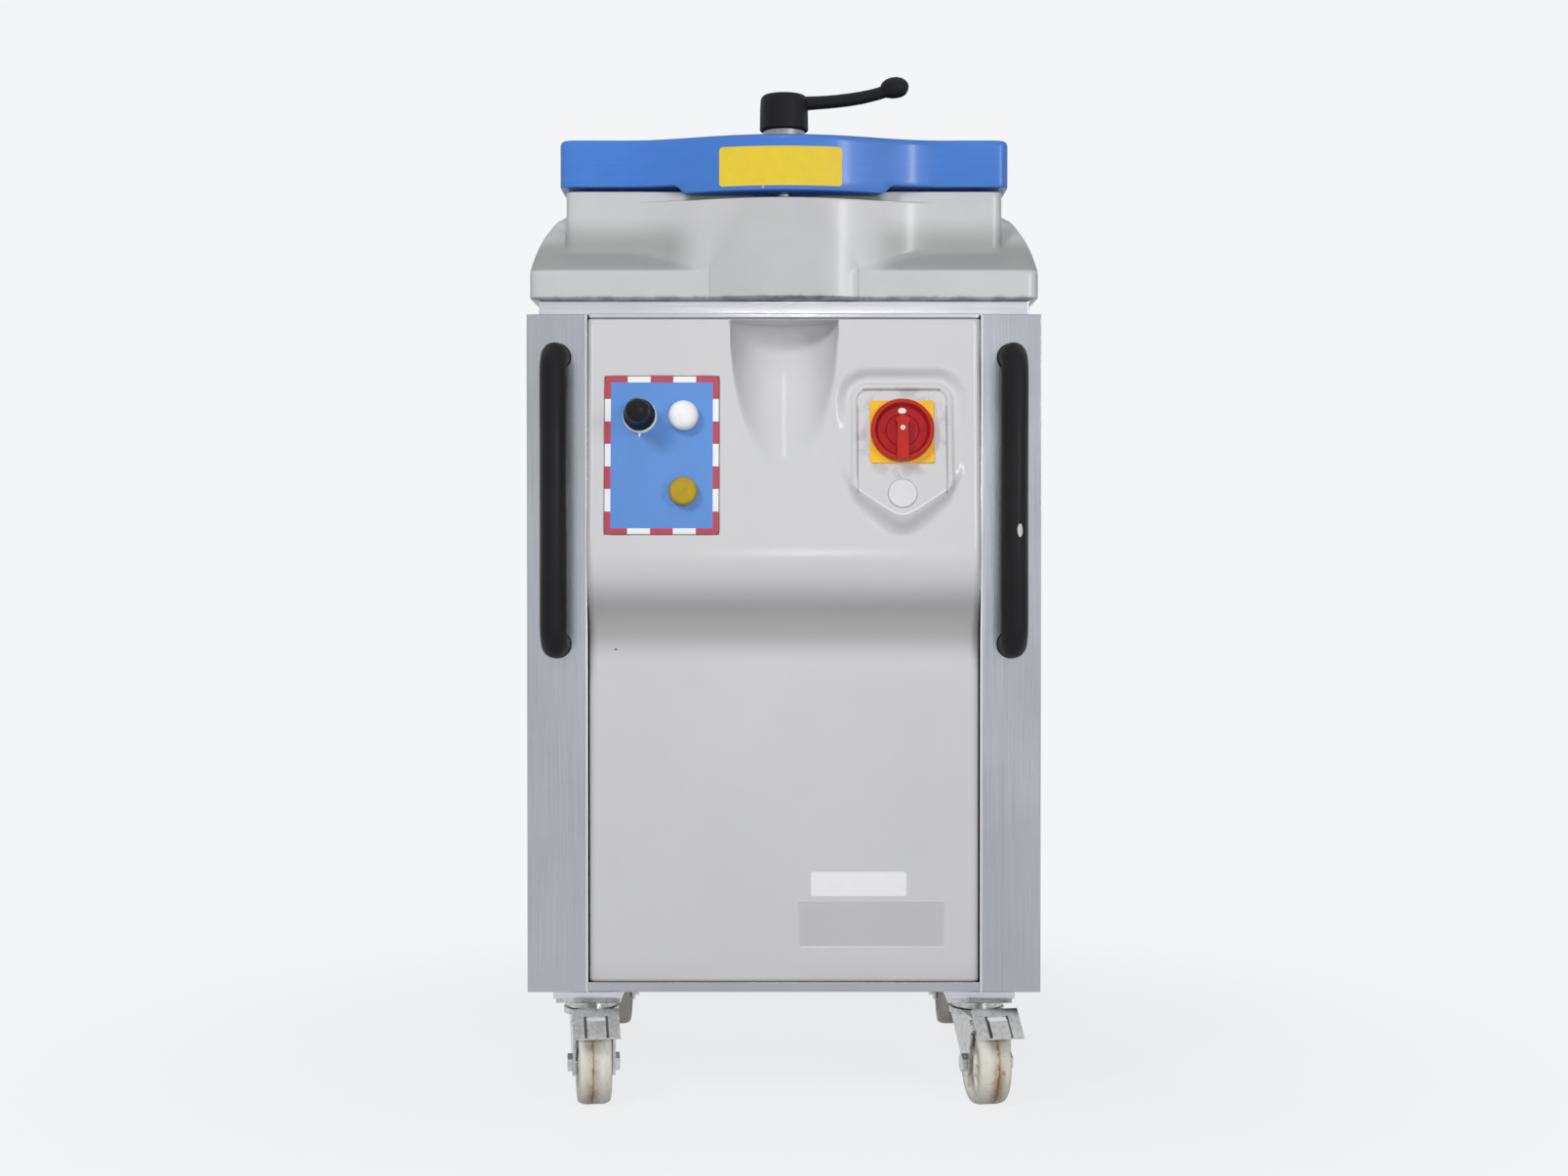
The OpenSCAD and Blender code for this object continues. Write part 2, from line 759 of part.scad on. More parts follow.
module hinge_pins() {
  half = knuckle_w / 2 + loose + ear_t;
  color("silver") for (s = [-1, 1]) translate([s * hinge_x, hinge_y, hinge_z]) rotate([0, 90, 0]) {
    cylinder(h = 2 * half + 2 * pin_head, d = hinge_pin_d, center = true);
    for (e = [-1, 1]) translate([0, 0, e * (half + pin_head)])
      cylinder(h = 2 * pin_head, r = ear_r - pin_head, center = true);
  }
}

// Lid
pocket_h = 22;
drop_w = 210;
drop_slope = 13;
collar_h = 8.5;
collar_r = 22;
hub_z = lid_top + collar_h;
module lid_casting() {
  color("royalblue") difference() {
    union() {
      translate([0, 0, lid_z]) linear_extrude(lid_h) polygon(plan(lid_over));
      intersection() {
        translate([0, 0, lid_z - lid_drop]) linear_extrude(lid_h) polygon(plan(lid_over));
        along_y(front_y - bulge_proud - lid_over - over, block_front - clear) polygon([
          [-drop_w / 2, lid_z - lid_drop], [drop_w / 2, lid_z - lid_drop],
          [drop_w / 2 + drop_slope, lid_z + over], [-drop_w / 2 - drop_slope, lid_z + over]]);
      }
      for (s = [-1, 1]) translate([s * hinge_x, 0, 0]) {
        translate([0, hinge_y, hinge_z]) rotate([0, 90, 0]) cylinder(h = knuckle_w, r = ear_r, center = true);
        block(-knuckle_w / 2, knuckle_w / 2, block_rear, hinge_y, hinge_z - ear_r, hinge_z + ear_r);
      }
    }
    square_hole(pan_out + 2 * loose, lid_z - over, lid_z + pocket_h);
    translate([0, lock_y, lid_z - lid_drop - over])
      cylinder(h = lid_h + lid_drop + 2 * over, r = lock_shaft_r + fit);
    for (s = [-1, 1]) translate([s * hinge_x, hinge_y, hinge_z]) rotate([0, 90, 0])
      cylinder(h = knuckle_w + 2 * over, d = hinge_pin_d + 2 * fit, center = true);
  }
}
module lid_plate() { color("whitesmoke") square_hole(pan_out, block_z + clear, lid_z + pocket_h); }
module lock_collar() {
  color("silver") translate([0, lock_y, lid_top]) difference() {
    cylinder(h = collar_h, r = collar_r);
    drill(lock_shaft_r + fit, 2 * collar_h);
  }
}
arm_r = 800;
arm_rise = 7.5;
arm_up = 28;
arm_root = 2;
module lock_lever() {
  turn = arm_len / arm_r * 180 / PI;
  color("black") translate([0, lock_y, hub_z]) difference() {
    union() {
      cylinder(h = hub_h, d = hub_d);
      translate([hub_d / 2 - arm_root, 0, arm_up]) rotate([90, 0, 0])
        translate(arm_r * [-sin(arm_rise), cos(arm_rise)]) rotate([0, 0, arm_rise - 90]) {
          rotate_extrude(angle = turn) translate([arm_r, 0]) circle(d = arm_d);
          rotate([0, 0, turn]) translate([arm_r, 0]) sphere(d = tip_d);
        }
    }
    translate([0, 0, -over]) cylinder(h = hub_h / 2 + over, r = lock_shaft_r + fit);
  }
}
module lock_shaft() {
  color("silver") translate([0, lock_y, claw_z]) {
    cylinder(h = hub_z + hub_h / 2 - loose - claw_z, r = lock_shaft_r);
    translate([-claw_len / 2, -claw_w / 2, 0]) cube([claw_len, claw_w, claw_t]);
  }
}

// Press: pads on pillars, lifted by one rod
slot_play = 0.5;
pad_top = block_z - pan_depth;
stroke = pan_depth;
table_edge = 20;
table_z = pad_top - pad_thick - pillar_len - table_t;
cell_x = pan_in / pads_x;
cell_y = pan_in / pads_y;
module at_pads() {
  for (i = [0:pads_x - 1], j = [0:pads_y - 1])
    translate([(i + 0.5) * cell_x - pan_in / 2, pan_y + (j + 0.5) * cell_y - pan_in / 2, 0]) children();
}
module press_pads() {
  w = cell_x - knife_t - 2 * slot_play;
  d = cell_y - knife_t - 2 * slot_play;
  color("whitesmoke") at_pads() translate([-w / 2, -d / 2, pad_top - pad_thick]) cube([w, d, pad_thick]);
}
module press_pillars() {
  color("silver") at_pads() translate([0, 0, table_z + table_t]) cylinder(h = pillar_len, d = pillar_d);
}
module press_table() {
  half_x = (pan_in - cell_x) / 2 + table_edge;
  half_y = (pan_in - cell_y) / 2 + table_edge;
  color("gray") block(-half_x, half_x, pan_y - half_y, pan_y + half_y, table_z, table_z + table_t);
}

// Knives: half-lapped blades on a carrier ring, posts and a crosshead
knife_edge = 4;
lap_play = 0.2;
carrier_t = 20;
carrier_w = 20;
carrier_over = 8;
carrier_out = pan_in + 2 * carrier_over;
knife_len = pan_in - 2 * over;
knife_z = pad_top - clear - knife_h;
carrier_z = knife_z - carrier_t;
head_gap = 8;
head_z = table_z - stroke - head_gap - table_t;
post_at = (carrier_out - carrier_w) / 2;
module blade(pitch, n, from_top) {
  lap = knife_t + 2 * lap_play;
  difference() {
    along_x(knife_len) polygon([
      [-knife_t / 2, 0], [knife_t / 2, 0], [knife_t / 2, knife_h - knife_edge], [0, knife_h],
      [-knife_t / 2, knife_h - knife_edge]]);
    for (i = [1:n - 1]) translate([i * pitch - pan_in / 2 - lap / 2, -knife_t,
      from_top ? knife_h / 2 - lap_play : -over])
      cube([lap, 2 * knife_t, knife_h / 2 + lap_play + over]);
  }
}
module knife_blades() {
  color("silver") translate([0, pan_y, knife_z]) {
    for (j = [1:pads_y - 1]) translate([0, j * cell_y - pan_in / 2, 0]) blade(cell_x, pads_x, true);
    for (i = [1:pads_x - 1]) translate([i * cell_x - pan_in / 2, 0, 0]) rotate([0, 0, 90])
      blade(cell_y, pads_y, false);
  }
}
module knife_carrier() {
  color("gray") difference() {
    square_hole(carrier_out, carrier_z, knife_z);
    square_hole(carrier_out - 2 * carrier_w, carrier_z - over, knife_z + over);
  }
}
module knife_posts() {
  color("silver") for (x = [-1, 1], y = [-1, 1])
    translate([x * post_at, pan_y + y * post_at, head_z + table_t])
      cylinder(h = carrier_z - head_z - table_t, d = knife_post_d);
}
module crosshead() {
  color("gray") difference() {
    square_hole(carrier_out, head_z, head_z + table_t);
    translate([0, pan_y, head_z - over]) cylinder(h = table_t + 2 * over, d = press_rod_d + 4 * clear);
  }
}

// Hydraulic cylinders on the bridge plate
bridge_up = 135;
bridge_z = post_z + bridge_up;
bridge_top = bridge_z + bridge_t;
barrel_gap = 6;
barrel_top = head_z - barrel_gap;
gland_t = 16;
piston_up = 10;
piston_t = 20;
knife_cyl_share = 0.325;
knife_cyl_x = knife_cyl_share * pan_in;
column_gap = 5.5;
column_x = carrier_out / 2 + column_gap + column_d / 2;
column_back = 20;
column_y = pan_in / 2 - column_back;
bridge_edge = 2;
module barrel(bore, rod) {
  difference() {
    cylinder(h = barrel_top - bridge_top, d = bore + 2 * barrel_wall);
    translate([0, 0, piston_up / 2])
      cylinder(h = barrel_top - bridge_top - gland_t - piston_up / 2, d = bore);
    translate([0, 0, piston_up]) cylinder(h = barrel_top - bridge_top, d = rod + 2 * fit);
  }
}
module ram(bore, rod, top) {
  translate([0, 0, piston_up]) {
    cylinder(h = piston_t, d = bore - 2 * fit);
    cylinder(h = top - bridge_top - piston_up, d = rod);
  }
}
module at_knife_rams() { both_sides() translate([knife_cyl_x, pan_y, bridge_top]) children(); }
module at_press_ram() { translate([0, pan_y, bridge_top]) children(); }
module press_cylinder() { color("dimgray") at_press_ram() barrel(press_bore, press_rod_d); }
module press_rod() { color("silver") at_press_ram() ram(press_bore, press_rod_d, table_z); }
module knife_cylinders() { color("dimgray") at_knife_rams() barrel(knife_bore, knife_rod_d); }
module knife_rods() { color("silver") at_knife_rams() ram(knife_bore, knife_rod_d, head_z); }
module bridge_plate() {
  half_x = column_x + column_d / 2 + bridge_edge;
  half_y = column_y + column_d / 2 + bridge_edge;
  color("gray") block(-half_x, half_x, pan_y - half_y, pan_y + half_y, bridge_z, bridge_top);
}
module guide_columns() {
  color("silver") for (x = [-1, 1], y = [-1, 1]) translate([x * column_x, pan_y + y * column_y, bridge_top])
    cylinder(h = deck_z - bridge_top, d = column_d);
}

// Power pack on the base tray
tray_top = post_z + tray_t;
tank_w = 225;
tank_ends = 90;
tank_deep = stand_d - 2 * tank_ends;
tank_h = 120;
tank_side = 19;
cap_d = 40;
cap_h = 8;
motor_in = 144;
motor_x = side_x - motor_in;
motor_len = 220;
motor_back = 110;
motor_rear = rear_y - motor_back;
motor_up = 65;
motor_foot_w = 90;
pump_len = 70;
pump_w = 64;
pump_flange_t = 15;
pump_flange_d = 84;
valve_w = 100;
valve_deep = 60;
valve_h = 50;
valve_back = 12;
solenoid_d = 36;
solenoid_len = 45;
box_w = 180;
box_h = 220;
box_deep = 70;
box_drop = 60;
module oil_tank() {
  x = -side_x + tank_side;
  color("dimgray") {
    block(x, x + tank_w, -tank_deep / 2, tank_deep / 2, tray_top, tray_top + tank_h);
    translate([x + cap_d, tank_deep / 2 - cap_d, tray_top + tank_h - over])
      cylinder(h = cap_h + over, d = cap_d);
  }
}
module pump_motor() {
  z = tray_top + motor_up;
  color("steelblue") {
    translate([motor_x, motor_rear, z]) rotate([90, 0, 0]) cylinder(h = motor_len, d = motor_d);
    block(motor_x - motor_foot_w / 2, motor_x + motor_foot_w / 2, motor_rear - motor_len * 3 / 4,
      motor_rear - motor_len / 4, tray_top, z - motor_foot_w / 4);
  }
}
module gear_pump() {
  y = motor_rear - motor_len;
  z = tray_top + motor_up;
  color("gray") {
    translate([motor_x, y, z]) rotate([90, 0, 0]) cylinder(h = pump_flange_t, d = pump_flange_d);
    block(motor_x - pump_w / 2, motor_x + pump_w / 2, y - pump_len, y - pump_flange_t / 2,
      z - pump_w / 2, z + pump_w / 2);
  }
}
module valve_block() {
  y = pan_y + column_y - valve_back - valve_deep;
  color("gray") {
    block(-valve_w / 2, valve_w / 2, y, y + valve_deep, bridge_top, bridge_top + valve_h);
    for (s = [-1, 1]) translate([s * valve_w / 4, y + valve_deep / 2, bridge_top + valve_h - over])
      cylinder(h = solenoid_len + over, d = solenoid_d);
  }
}
module electrical_box() {
  z = deck_z - box_drop;
  color("gainsboro")
    block(-box_w / 2, box_w / 2, rear_y - sheet_t - box_deep, rear_y - sheet_t, z - box_h, z);
}

// Casters: fixed heads, swivelling forks, wheels and brake pedals
head_t = 6;
head_w = 70;
head_deep = 84;
race_r = 27;
race_h = 10;
king_r = 6;
king_len = 13;
crown_t = 6;
crown_r = 30;
fork_t = 3;
fork_rear = 22;
fork_front = 20;
fork_lug = 30;
fork_neck = 14;
lug_r = 15;
bolt_head_d = 20;
bolt_head_t = 5;
wheel_rim = 8;
wheel_dish = 5;
wheel_round = 3;
hub_r = 16;
pedal_out = 24;
pedal_pin_r = 3;
pedal_slope = 40;
pedal_lift = 16;
pedal_w = 50;
pedal_len = 36;
pedal_heel = 3;
pedal_t = 3;
tread_w = 20;
tread_len = 22;
tread_h = 2.5;
race_z = caster_h - head_t - race_h;
crown_top = race_z - loose;
crown_z = crown_top - crown_t;
axle_z = wheel_d / 2;
leg_in = wheel_w / 2 + clear;
leg_out = leg_in + fork_t;
pedal_y = -trail - pedal_out;
pedal_z = crown_z;
module at_caster(sx, sy, yaw) {
  translate([sx * caster_span_x / 2, sy * caster_span_y / 2, 0]) rotate([0, 0, yaw]) children();
}
module caster_plates() {
  color("silver") at_casters() {
    translate([-head_w / 2, -head_deep / 2, caster_h - head_t]) cube([head_w, head_deep, head_t]);
    translate([0, 0, race_z]) cylinder(h = race_h + head_t / 2, r = race_r);
    translate([0, 0, race_z - king_len]) cylinder(h = king_len + race_h / 2, r = king_r);
  }
}
module leg_plan(braked) {
  tip = -trail - (braked ? fork_lug : fork_front);
  difference() {
    union() {
      polygon([
        [fork_rear, crown_top], [fork_rear, crown_z - fork_neck / 2], [-trail + lug_r, axle_z],
        [-trail - lug_r, axle_z], [-trail - fork_front, crown_z - fork_neck],
        [tip, crown_z - fork_neck / 2], [tip, crown_top]]);
      translate([-trail, axle_z]) circle(lug_r);
    }
    translate([-trail, axle_z]) circle(d = axle_d + 2 * fit);
    if (braked) translate([pedal_y, pedal_z]) circle(pedal_pin_r + fit);
  }
}
module fork(braked) {
  difference() {
    union() {
      for (s = [-1, 1]) translate([s * (leg_in + leg_out) / 2, 0, 0]) along_x(fork_t) leg_plan(braked);
      block(-leg_in - fork_t / 2, leg_in + fork_t / 2, -trail - fork_front, fork_rear, crown_z, crown_top);
      translate([0, 0, crown_z]) cylinder(h = crown_t, r = crown_r);
    }
    translate([0, 0, crown_z - over]) cylinder(h = crown_t + 2 * over, r = king_r + fit);
  }
  translate([0, -trail, axle_z]) rotate([0, 90, 0]) {
    cylinder(h = 2 * leg_out + 2 * bolt_head_t, d = axle_d, center = true);
    for (s = [-1, 1]) translate([0, 0, s * (leg_out + 2 * fit + bolt_head_t / 2)])
      cylinder(h = bolt_head_t, d = bolt_head_d, center = true, $fn = 6);
  }
}
module wheel() {
  r = wheel_d / 2;
  w = wheel_w / 2;
  side = [
    [axle_d / 2 + fit, w + clear - loose], [hub_r, w + clear - loose], [hub_r, w - wheel_dish],
    [r - wheel_rim, w - wheel_dish], [r - wheel_rim, w], [r - wheel_round, w], [r, w - wheel_round]];
  translate([0, -trail, axle_z]) rotate([0, 90, 0]) rotate_extrude()
    polygon(concat(side, [for (i = [len(side) - 1:-1:0]) [side[i][0], -side[i][1]]]));
}
module brake_pedal() {
  inner = leg_in - loose;
  translate([0, pedal_y, pedal_z]) {
    rotate([0, 90, 0]) cylinder(h = 2 * leg_out + 2 * clear, r = pedal_pin_r, center = true);
    rotate([pedal_slope, 0, 0]) {
      for (s = [-1, 1]) translate([s * (inner - pedal_t / 2), 0, 0])
        block(-pedal_t / 2, pedal_t / 2, -pedal_pin_r, pedal_pin_r, 0, pedal_lift + pedal_t / 2);
      block(-pedal_w / 2, pedal_w / 2, -pedal_len, pedal_heel, pedal_lift, pedal_lift + pedal_t);
      block(-tread_w / 2, tread_w / 2, -pedal_len, tread_len - pedal_len, pedal_lift + pedal_t / 2,
        pedal_lift + pedal_t + tread_h);
    }
  }
}
module front_left_fork() { color("silver") at_caster(-1, -1, left_yaw) fork(true); }
module front_right_fork() { color("silver") at_caster(1, -1, right_yaw) fork(true); }
module rear_left_fork() { color("silver") at_caster(-1, 1, 0) fork(false); }
module rear_right_fork() { color("silver") at_caster(1, 1, 0) fork(false); }
module front_left_wheel() { color("ivory") at_caster(-1, -1, left_yaw) wheel(); }
module front_right_wheel() { color("ivory") at_caster(1, -1, right_yaw) wheel(); }
module rear_left_wheel() { color("ivory") at_caster(-1, 1, 0) wheel(); }
module rear_right_wheel() { color("ivory") at_caster(1, 1, 0) wheel(); }
module left_brake_pedal() { color("silver") at_caster(-1, -1, left_yaw) brake_pedal(); }
module right_brake_pedal() { color("silver") at_caster(1, -1, right_yaw) brake_pedal(); }

left_front_post();
right_front_post();
front_bottom_rail();
left_side_panel();
right_side_panel();
rear_panel();
base_tray();
caster_pads();
front_panel();
top_deck();
housing();
dough_pan();
hinge_pins();
keeper_plate();
handles();
control_plate();
control_bezels();
contact_blocks();
switch_plate();
switch_body();
blanking_plug();
cable_gland();
oil_tank();
pump_motor();
gear_pump();
valve_block();
press_cylinder();
knife_cylinders();
bridge_plate();
guide_columns();
electrical_box();
caster_plates();
lid_casting();
lid_plate();
lock_collar();
lock_lever();
lock_shaft();
press_table();
press_pillars();
press_pads();
press_rod();
knife_blades();
knife_carrier();
knife_posts();
crosshead();
knife_rods();
joystick();
white_button();
yellow_button();
switch_knob();
front_left_fork();
front_right_fork();
rear_left_fork();
rear_right_fork();
front_left_wheel();
front_right_wheel();
rear_left_wheel();
rear_right_wheel();
left_brake_pedal();
right_brake_pedal();
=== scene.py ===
"""Dough divider: surfaces, finishes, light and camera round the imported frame."""
import math

import bmesh
import bpy
from bpy.props import FloatProperty, FloatVectorProperty, IntProperty, PointerProperty
from mathutils import Matrix, Vector


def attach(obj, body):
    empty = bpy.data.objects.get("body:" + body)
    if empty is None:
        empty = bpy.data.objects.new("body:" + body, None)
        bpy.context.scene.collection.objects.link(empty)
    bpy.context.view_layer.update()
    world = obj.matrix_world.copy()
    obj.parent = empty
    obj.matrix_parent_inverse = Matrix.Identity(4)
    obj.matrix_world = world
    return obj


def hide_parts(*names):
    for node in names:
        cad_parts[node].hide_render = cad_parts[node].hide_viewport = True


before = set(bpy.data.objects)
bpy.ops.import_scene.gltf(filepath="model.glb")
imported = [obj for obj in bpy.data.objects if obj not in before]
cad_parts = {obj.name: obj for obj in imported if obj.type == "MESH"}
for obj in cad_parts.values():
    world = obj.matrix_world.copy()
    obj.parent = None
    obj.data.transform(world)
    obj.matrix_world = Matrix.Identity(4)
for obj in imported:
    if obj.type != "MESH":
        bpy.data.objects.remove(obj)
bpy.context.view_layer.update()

bl_info = {
    "name": "Dough Divider",
    "version": (1, 0, 0),
    "blender": (4, 5, 0),
    "location": "3D View > Sidebar > Divider",
    "description": "Builds the surfaces and finishes of a hydraulic dough divider on its frame",
    "category": "Add Mesh",
}

MM = 0.001
TURN = 2 * math.pi
X_AXIS, Y_AXIS, Z_AXIS = Vector((1, 0, 0)), Vector((0, 1, 0)), Vector((0, 0, 1))

# Places and holes that several pieces share
LOCK_AXIS = Matrix.Translation((0, -0.270, 0))
SHAFT_HOLE_R = 0.00806
HINGE_YZ = (0.250, 1.012)
HINGE_X = (-0.150, 0.150)
PIN_HOLE_R = 0.00805
TREAD_Z = 0.093

# Name, place, size and mirroring of each soft light
LIGHTS = (
    ("key", (-1.21, -2.40, 2.02), (0.60, 0.60), False),
    ("front", (0.12, -2.80, 0.70), (0.60, 0.60), False),
    ("flash", (0.06, -2.85, 0.74), (0.20, 0.20), True),
    ("strip", (1.46, -2.31, 1.19), (0.13, 0.90), True),
    ("ridge", (0.0, -1.70, 2.85), (0.05, 0.90), True),
    ("back", (-0.90, 2.60, 1.80), (0.80, 0.80), False),
)


# Property helpers
def length(name, text, value):
    """A length in metres."""
    return FloatProperty(name=name, description=text, default=value, unit="LENGTH", precision=4)


def amount(name, text, value):
    """A plain number."""
    return FloatProperty(name=name, description=text, default=value)


def angle(name, text, degrees):
    """An angle, given in degrees."""
    return FloatProperty(name=name, description=text, default=math.radians(degrees), subtype="ANGLE")


def colour(name, text, value):
    """A linear colour."""
    return FloatVectorProperty(name=name, description=text, default=value, size=3, min=0, max=1,
                               subtype="COLOR")


class PanelSizes(bpy.types.PropertyGroup):
    """Shape of the moulded front panel"""
    lean: angle("Lean", "Lean of the upper face", 5)
    low_y: length("Lower face", "Y of the lower face", -0.292)
    top_y: length("Top edge", "Y of the upper face at its top edge", -0.304)
    curve_low: length("Curve foot", "Height at which the S-curve starts", 0.500)
    curve_high: length("Curve head", "Height at which the S-curve ends", 0.595)
    edge: length("Edge radius", "Rounding of the panel's outer edge", 0.009)
    scoop_r: length("Scoop radius", "Radius of the scoop", 0.057)
    scoop_tilt: angle("Scoop tilt", "Tilt of the scoop against the upper face", 21)
    lip: length("Lip", "Softness of the scoop's lip", 0.007)
    podium_x: length("Podium", "X of the switch podium", 0.1245)
    podium_z: length("Podium height", "Height at which podium and face meet", 0.705)
    podium_tilt: angle("Podium tilt", "Tilt of the podium against the face", 7)
    podium_half: length("Podium half width", "Half the width of the podium", 0.0465)
    podium_up: length("Podium top", "Podium above the meeting line", 0.065)
    podium_side: length("Podium shoulder", "Shoulder below the meeting line", 0.043)
    podium_down: length("Podium tip", "Tip below the meeting line", 0.077)
    podium_round: length("Podium corners", "Corner radius of the podium", 0.012)
    valley: length("Valley", "Width of the hollow round the podium's rim", 0.016)
    valley_tip: length("Valley tip", "Width of the slope under the podium's tip", 0.020)
    rim_w: length("Rim width", "Width of the podium's raised rim", 0.0095)
    rim_h: length("Rim height", "Height of the podium's raised rim", 0.0032)
    plate_x: length("Plate", "X of the control plate", -0.12875)
    plate_z: length("Plate height", "Height of the control plate", 0.699)
    plate_sink: length("Plate recess", "Depth of the recess under the control plate", 0.0015)
    plate_w: length("Plate width", "Width of the control plate", 0.120)
    plate_h: length("Plate length", "Length of the control plate up the face", 0.167)
    shallow_x: length("Shallow recess", "X of the shallow recess near the foot", 0.0935)
    shallow_z: length("Shallow recess height", "Height of the shallow recess's middle", 0.1995)
    shallow_w: length("Shallow recess width", "Width of the shallow recess", 0.155)
    shallow_h: length("Shallow recess length", "Length of the shallow recess up the face", 0.047)
    shallow_sink: length("Shallow recess depth", "Depth of the shallow recess", 0.0008)
    switch_up: length("Switch", "Main switch above the podium's meeting line", 0.019)
    plug_down: length("Plug", "Blanking plug below the podium's meeting line", 0.0475)


class CastingSizes(bpy.types.PropertyGroup):
    """Shape of the housing and the lid"""
    pan_y: length("Pan centre", "Y of the middle of the pan", -0.020)
    bulge_y: length("Bulge centre", "Y of the middle of the bulge", -0.090)
    bulge_r: length("Bulge radius", "Radius of the bulge", 0.215)
    bulge_soft: length("Bulge blend", "Softness of the hollow beside the bulge", 0.032)
    block_x: length("Block", "Half the width of the upper block", 0.235)
    block_y: length("Block depth", "Half the depth of the upper block", 0.245)
    foot_x: length("Foot", "Half the width of the foot", 0.272)
    foot_y: length("Foot depth", "Half the depth of the foot", 0.270)
    foot_band: length("Foot band", "Height of the foot's upright edge", 0.0295)
    cheek_h: length("Cheek", "Height of the curved cheeks above the band", 0.0680)
    cheek_lean: length("Cheek lean", "Inward lean of the cheeks", 0.010)
    brow_h: length("Brow height", "Height of the front slope above the band", 0.0540)
    brow_run: length("Brow", "Depth of the front slope", 0.065)
    foot_soft: length("Foot blend", "Softness of the hollow between cheeks and block", 0.004)
    bulge_drop: length("Bulge step", "Step from the block's top down to the bulge", 0.011)
    lid_over: length("Lid overhang", "Overhang of the lid", 0.006)
    lid_edge: length("Lid edge", "Radius of the lid's top edge", 0.006)
    drop: length("Lid drop", "Drop of the lid's edge at the bulge", 0.009)
    drop_half: length("Drop half width", "Half the width of the dropped edge", 0.105)
    drop_slope: length("Drop slope", "Run of the slope beside the dropped edge", 0.013)
    points: IntProperty(name="Points", description="Points round a casting", default=640, min=160)


class HandleSizes(bpy.types.PropertyGroup):
    """Shape of the handles"""
    x: length("Side", "X of a handle", 0.2415)
    z: length("Height", "Height of a handle's middle", 0.6515)
    span: length("Span", "Distance between a handle's feet", 0.305)
    diameter: length("Diameter", "Diameter of the tube", 0.028)
    tube_y: length("Tube", "Y of the tube's centre line", -0.335)
    root_y: length("Root", "Y of the posts' front", -0.290)
    bend: length("Bend", "Bend radius of the centre line", 0.022)


class CasterSizes(bpy.types.PropertyGroup):
    """Places and sizes of the casters"""
    span_x: length("Width", "Distance between left and right swivel axes", 0.424)
    span_y: length("Depth", "Distance between front and rear swivel axes", 0.430)
    wheel_d: length("Wheel", "Diameter of a wheel", 0.090)
    wheel_w: length("Wheel width", "Width of a wheel", 0.036)
    trail: length("Trail", "Distance from swivel axis to axle", 0.040)
    left_yaw: angle("Left turn", "Turn of the front left caster", 8)
    right_yaw: angle("Right turn", "Turn of the front right caster", 10)


class FinishColours(bpy.types.PropertyGroup):
    """Colours of the finishes"""
    grey: colour("Panel grey", "Moulded front panel", (0.60, 0.60, 0.62))
    casting: colour("Casting grey", "Painted housing", (0.535, 0.54, 0.545))
    blue: colour("Lid blue", "Gloss paint of the lid", (0.055, 0.185, 0.58))
    plate_blue: colour("Plate blue", "Printed control plate", (0.112, 0.268, 0.63))
    plate_red: colour("Plate red", "Red blocks of the control plate's border", (0.46, 0.065, 0.10))
    paper: colour("White", "White blocks and blank stickers", (0.85, 0.85, 0.87))
    black: colour("Black", "Handles and lever", (0.007, 0.007, 0.008))
    red: colour("Switch red", "Knob of the main switch", (0.46, 0.022, 0.016))
    # A darker red that paints the shade on the floor of the switch's dish
    deep_red: colour("Dial red", "Floor of the switch's knob", (0.35, 0.012, 0.016))
    plug: colour("Plug grey", "Blanking plug under the switch", (0.68, 0.68, 0.695))
    yellow: colour("Switch yellow", "Plate of the main switch", (0.86, 0.48, 0.035))
    label: colour("Sticker yellow", "Blank sticker on the lid", (0.74, 0.55, 0.045))
    ochre: colour("Button yellow", "Yellow push button", (0.43, 0.29, 0.020))
    steel: colour("Steel", "Brushed posts and covers", (0.415, 0.43, 0.455))
    deck: colour("Deck", "Bright edge of the top deck", (0.61, 0.605, 0.65))
    zinc: colour("Zinc", "Plated casters", (0.52, 0.53, 0.52))
    nylon: colour("Nylon", "Caster wheels", (0.80, 0.775, 0.70))
    stain: colour("Stain", "Dirt on the wheels", (0.24, 0.13, 0.035))


class StageSetting(bpy.types.PropertyGroup):
    """Floor, light and camera"""
    pale: colour("Backdrop", "Colour of floor and backdrop", (0.905, 0.913, 0.93))
    lens: amount("Lens", "Focal length in millimetres", 52.8)
    eye: FloatVectorProperty(name="Eye", description="Place of the camera", default=(0.0, -2.74, 0.593),
                             size=3, subtype="TRANSLATION")
    pitch: angle("Pitch", "Downward tilt of the camera", 0.8)
    key: amount("Key", "Power of the light at the left", 30.0)
    front: amount("Front", "Power of the soft light beside the camera", 22.4)
    flash: amount("Flash", "Power of the small light beside the camera", 2.2)
    strip: amount("Strip", "Power of the upright strip at the right", 12.0)
    ridge: amount("Ridge", "Power of the narrow strip overhead", 4.0)
    back: amount("Back", "Power of the soft light behind", 20.0)
    ambient: amount("Ambient", "Strength of the surrounding light", 0.08)
    bounce: amount("Bounce", "Share of light that the floor throws back", 0.40)


# Shader building
def joined(kind):
    """A method that joins a value and another in one math node."""
    def method(self, other=0.0):
        return self._math(kind, self, other)
    return method


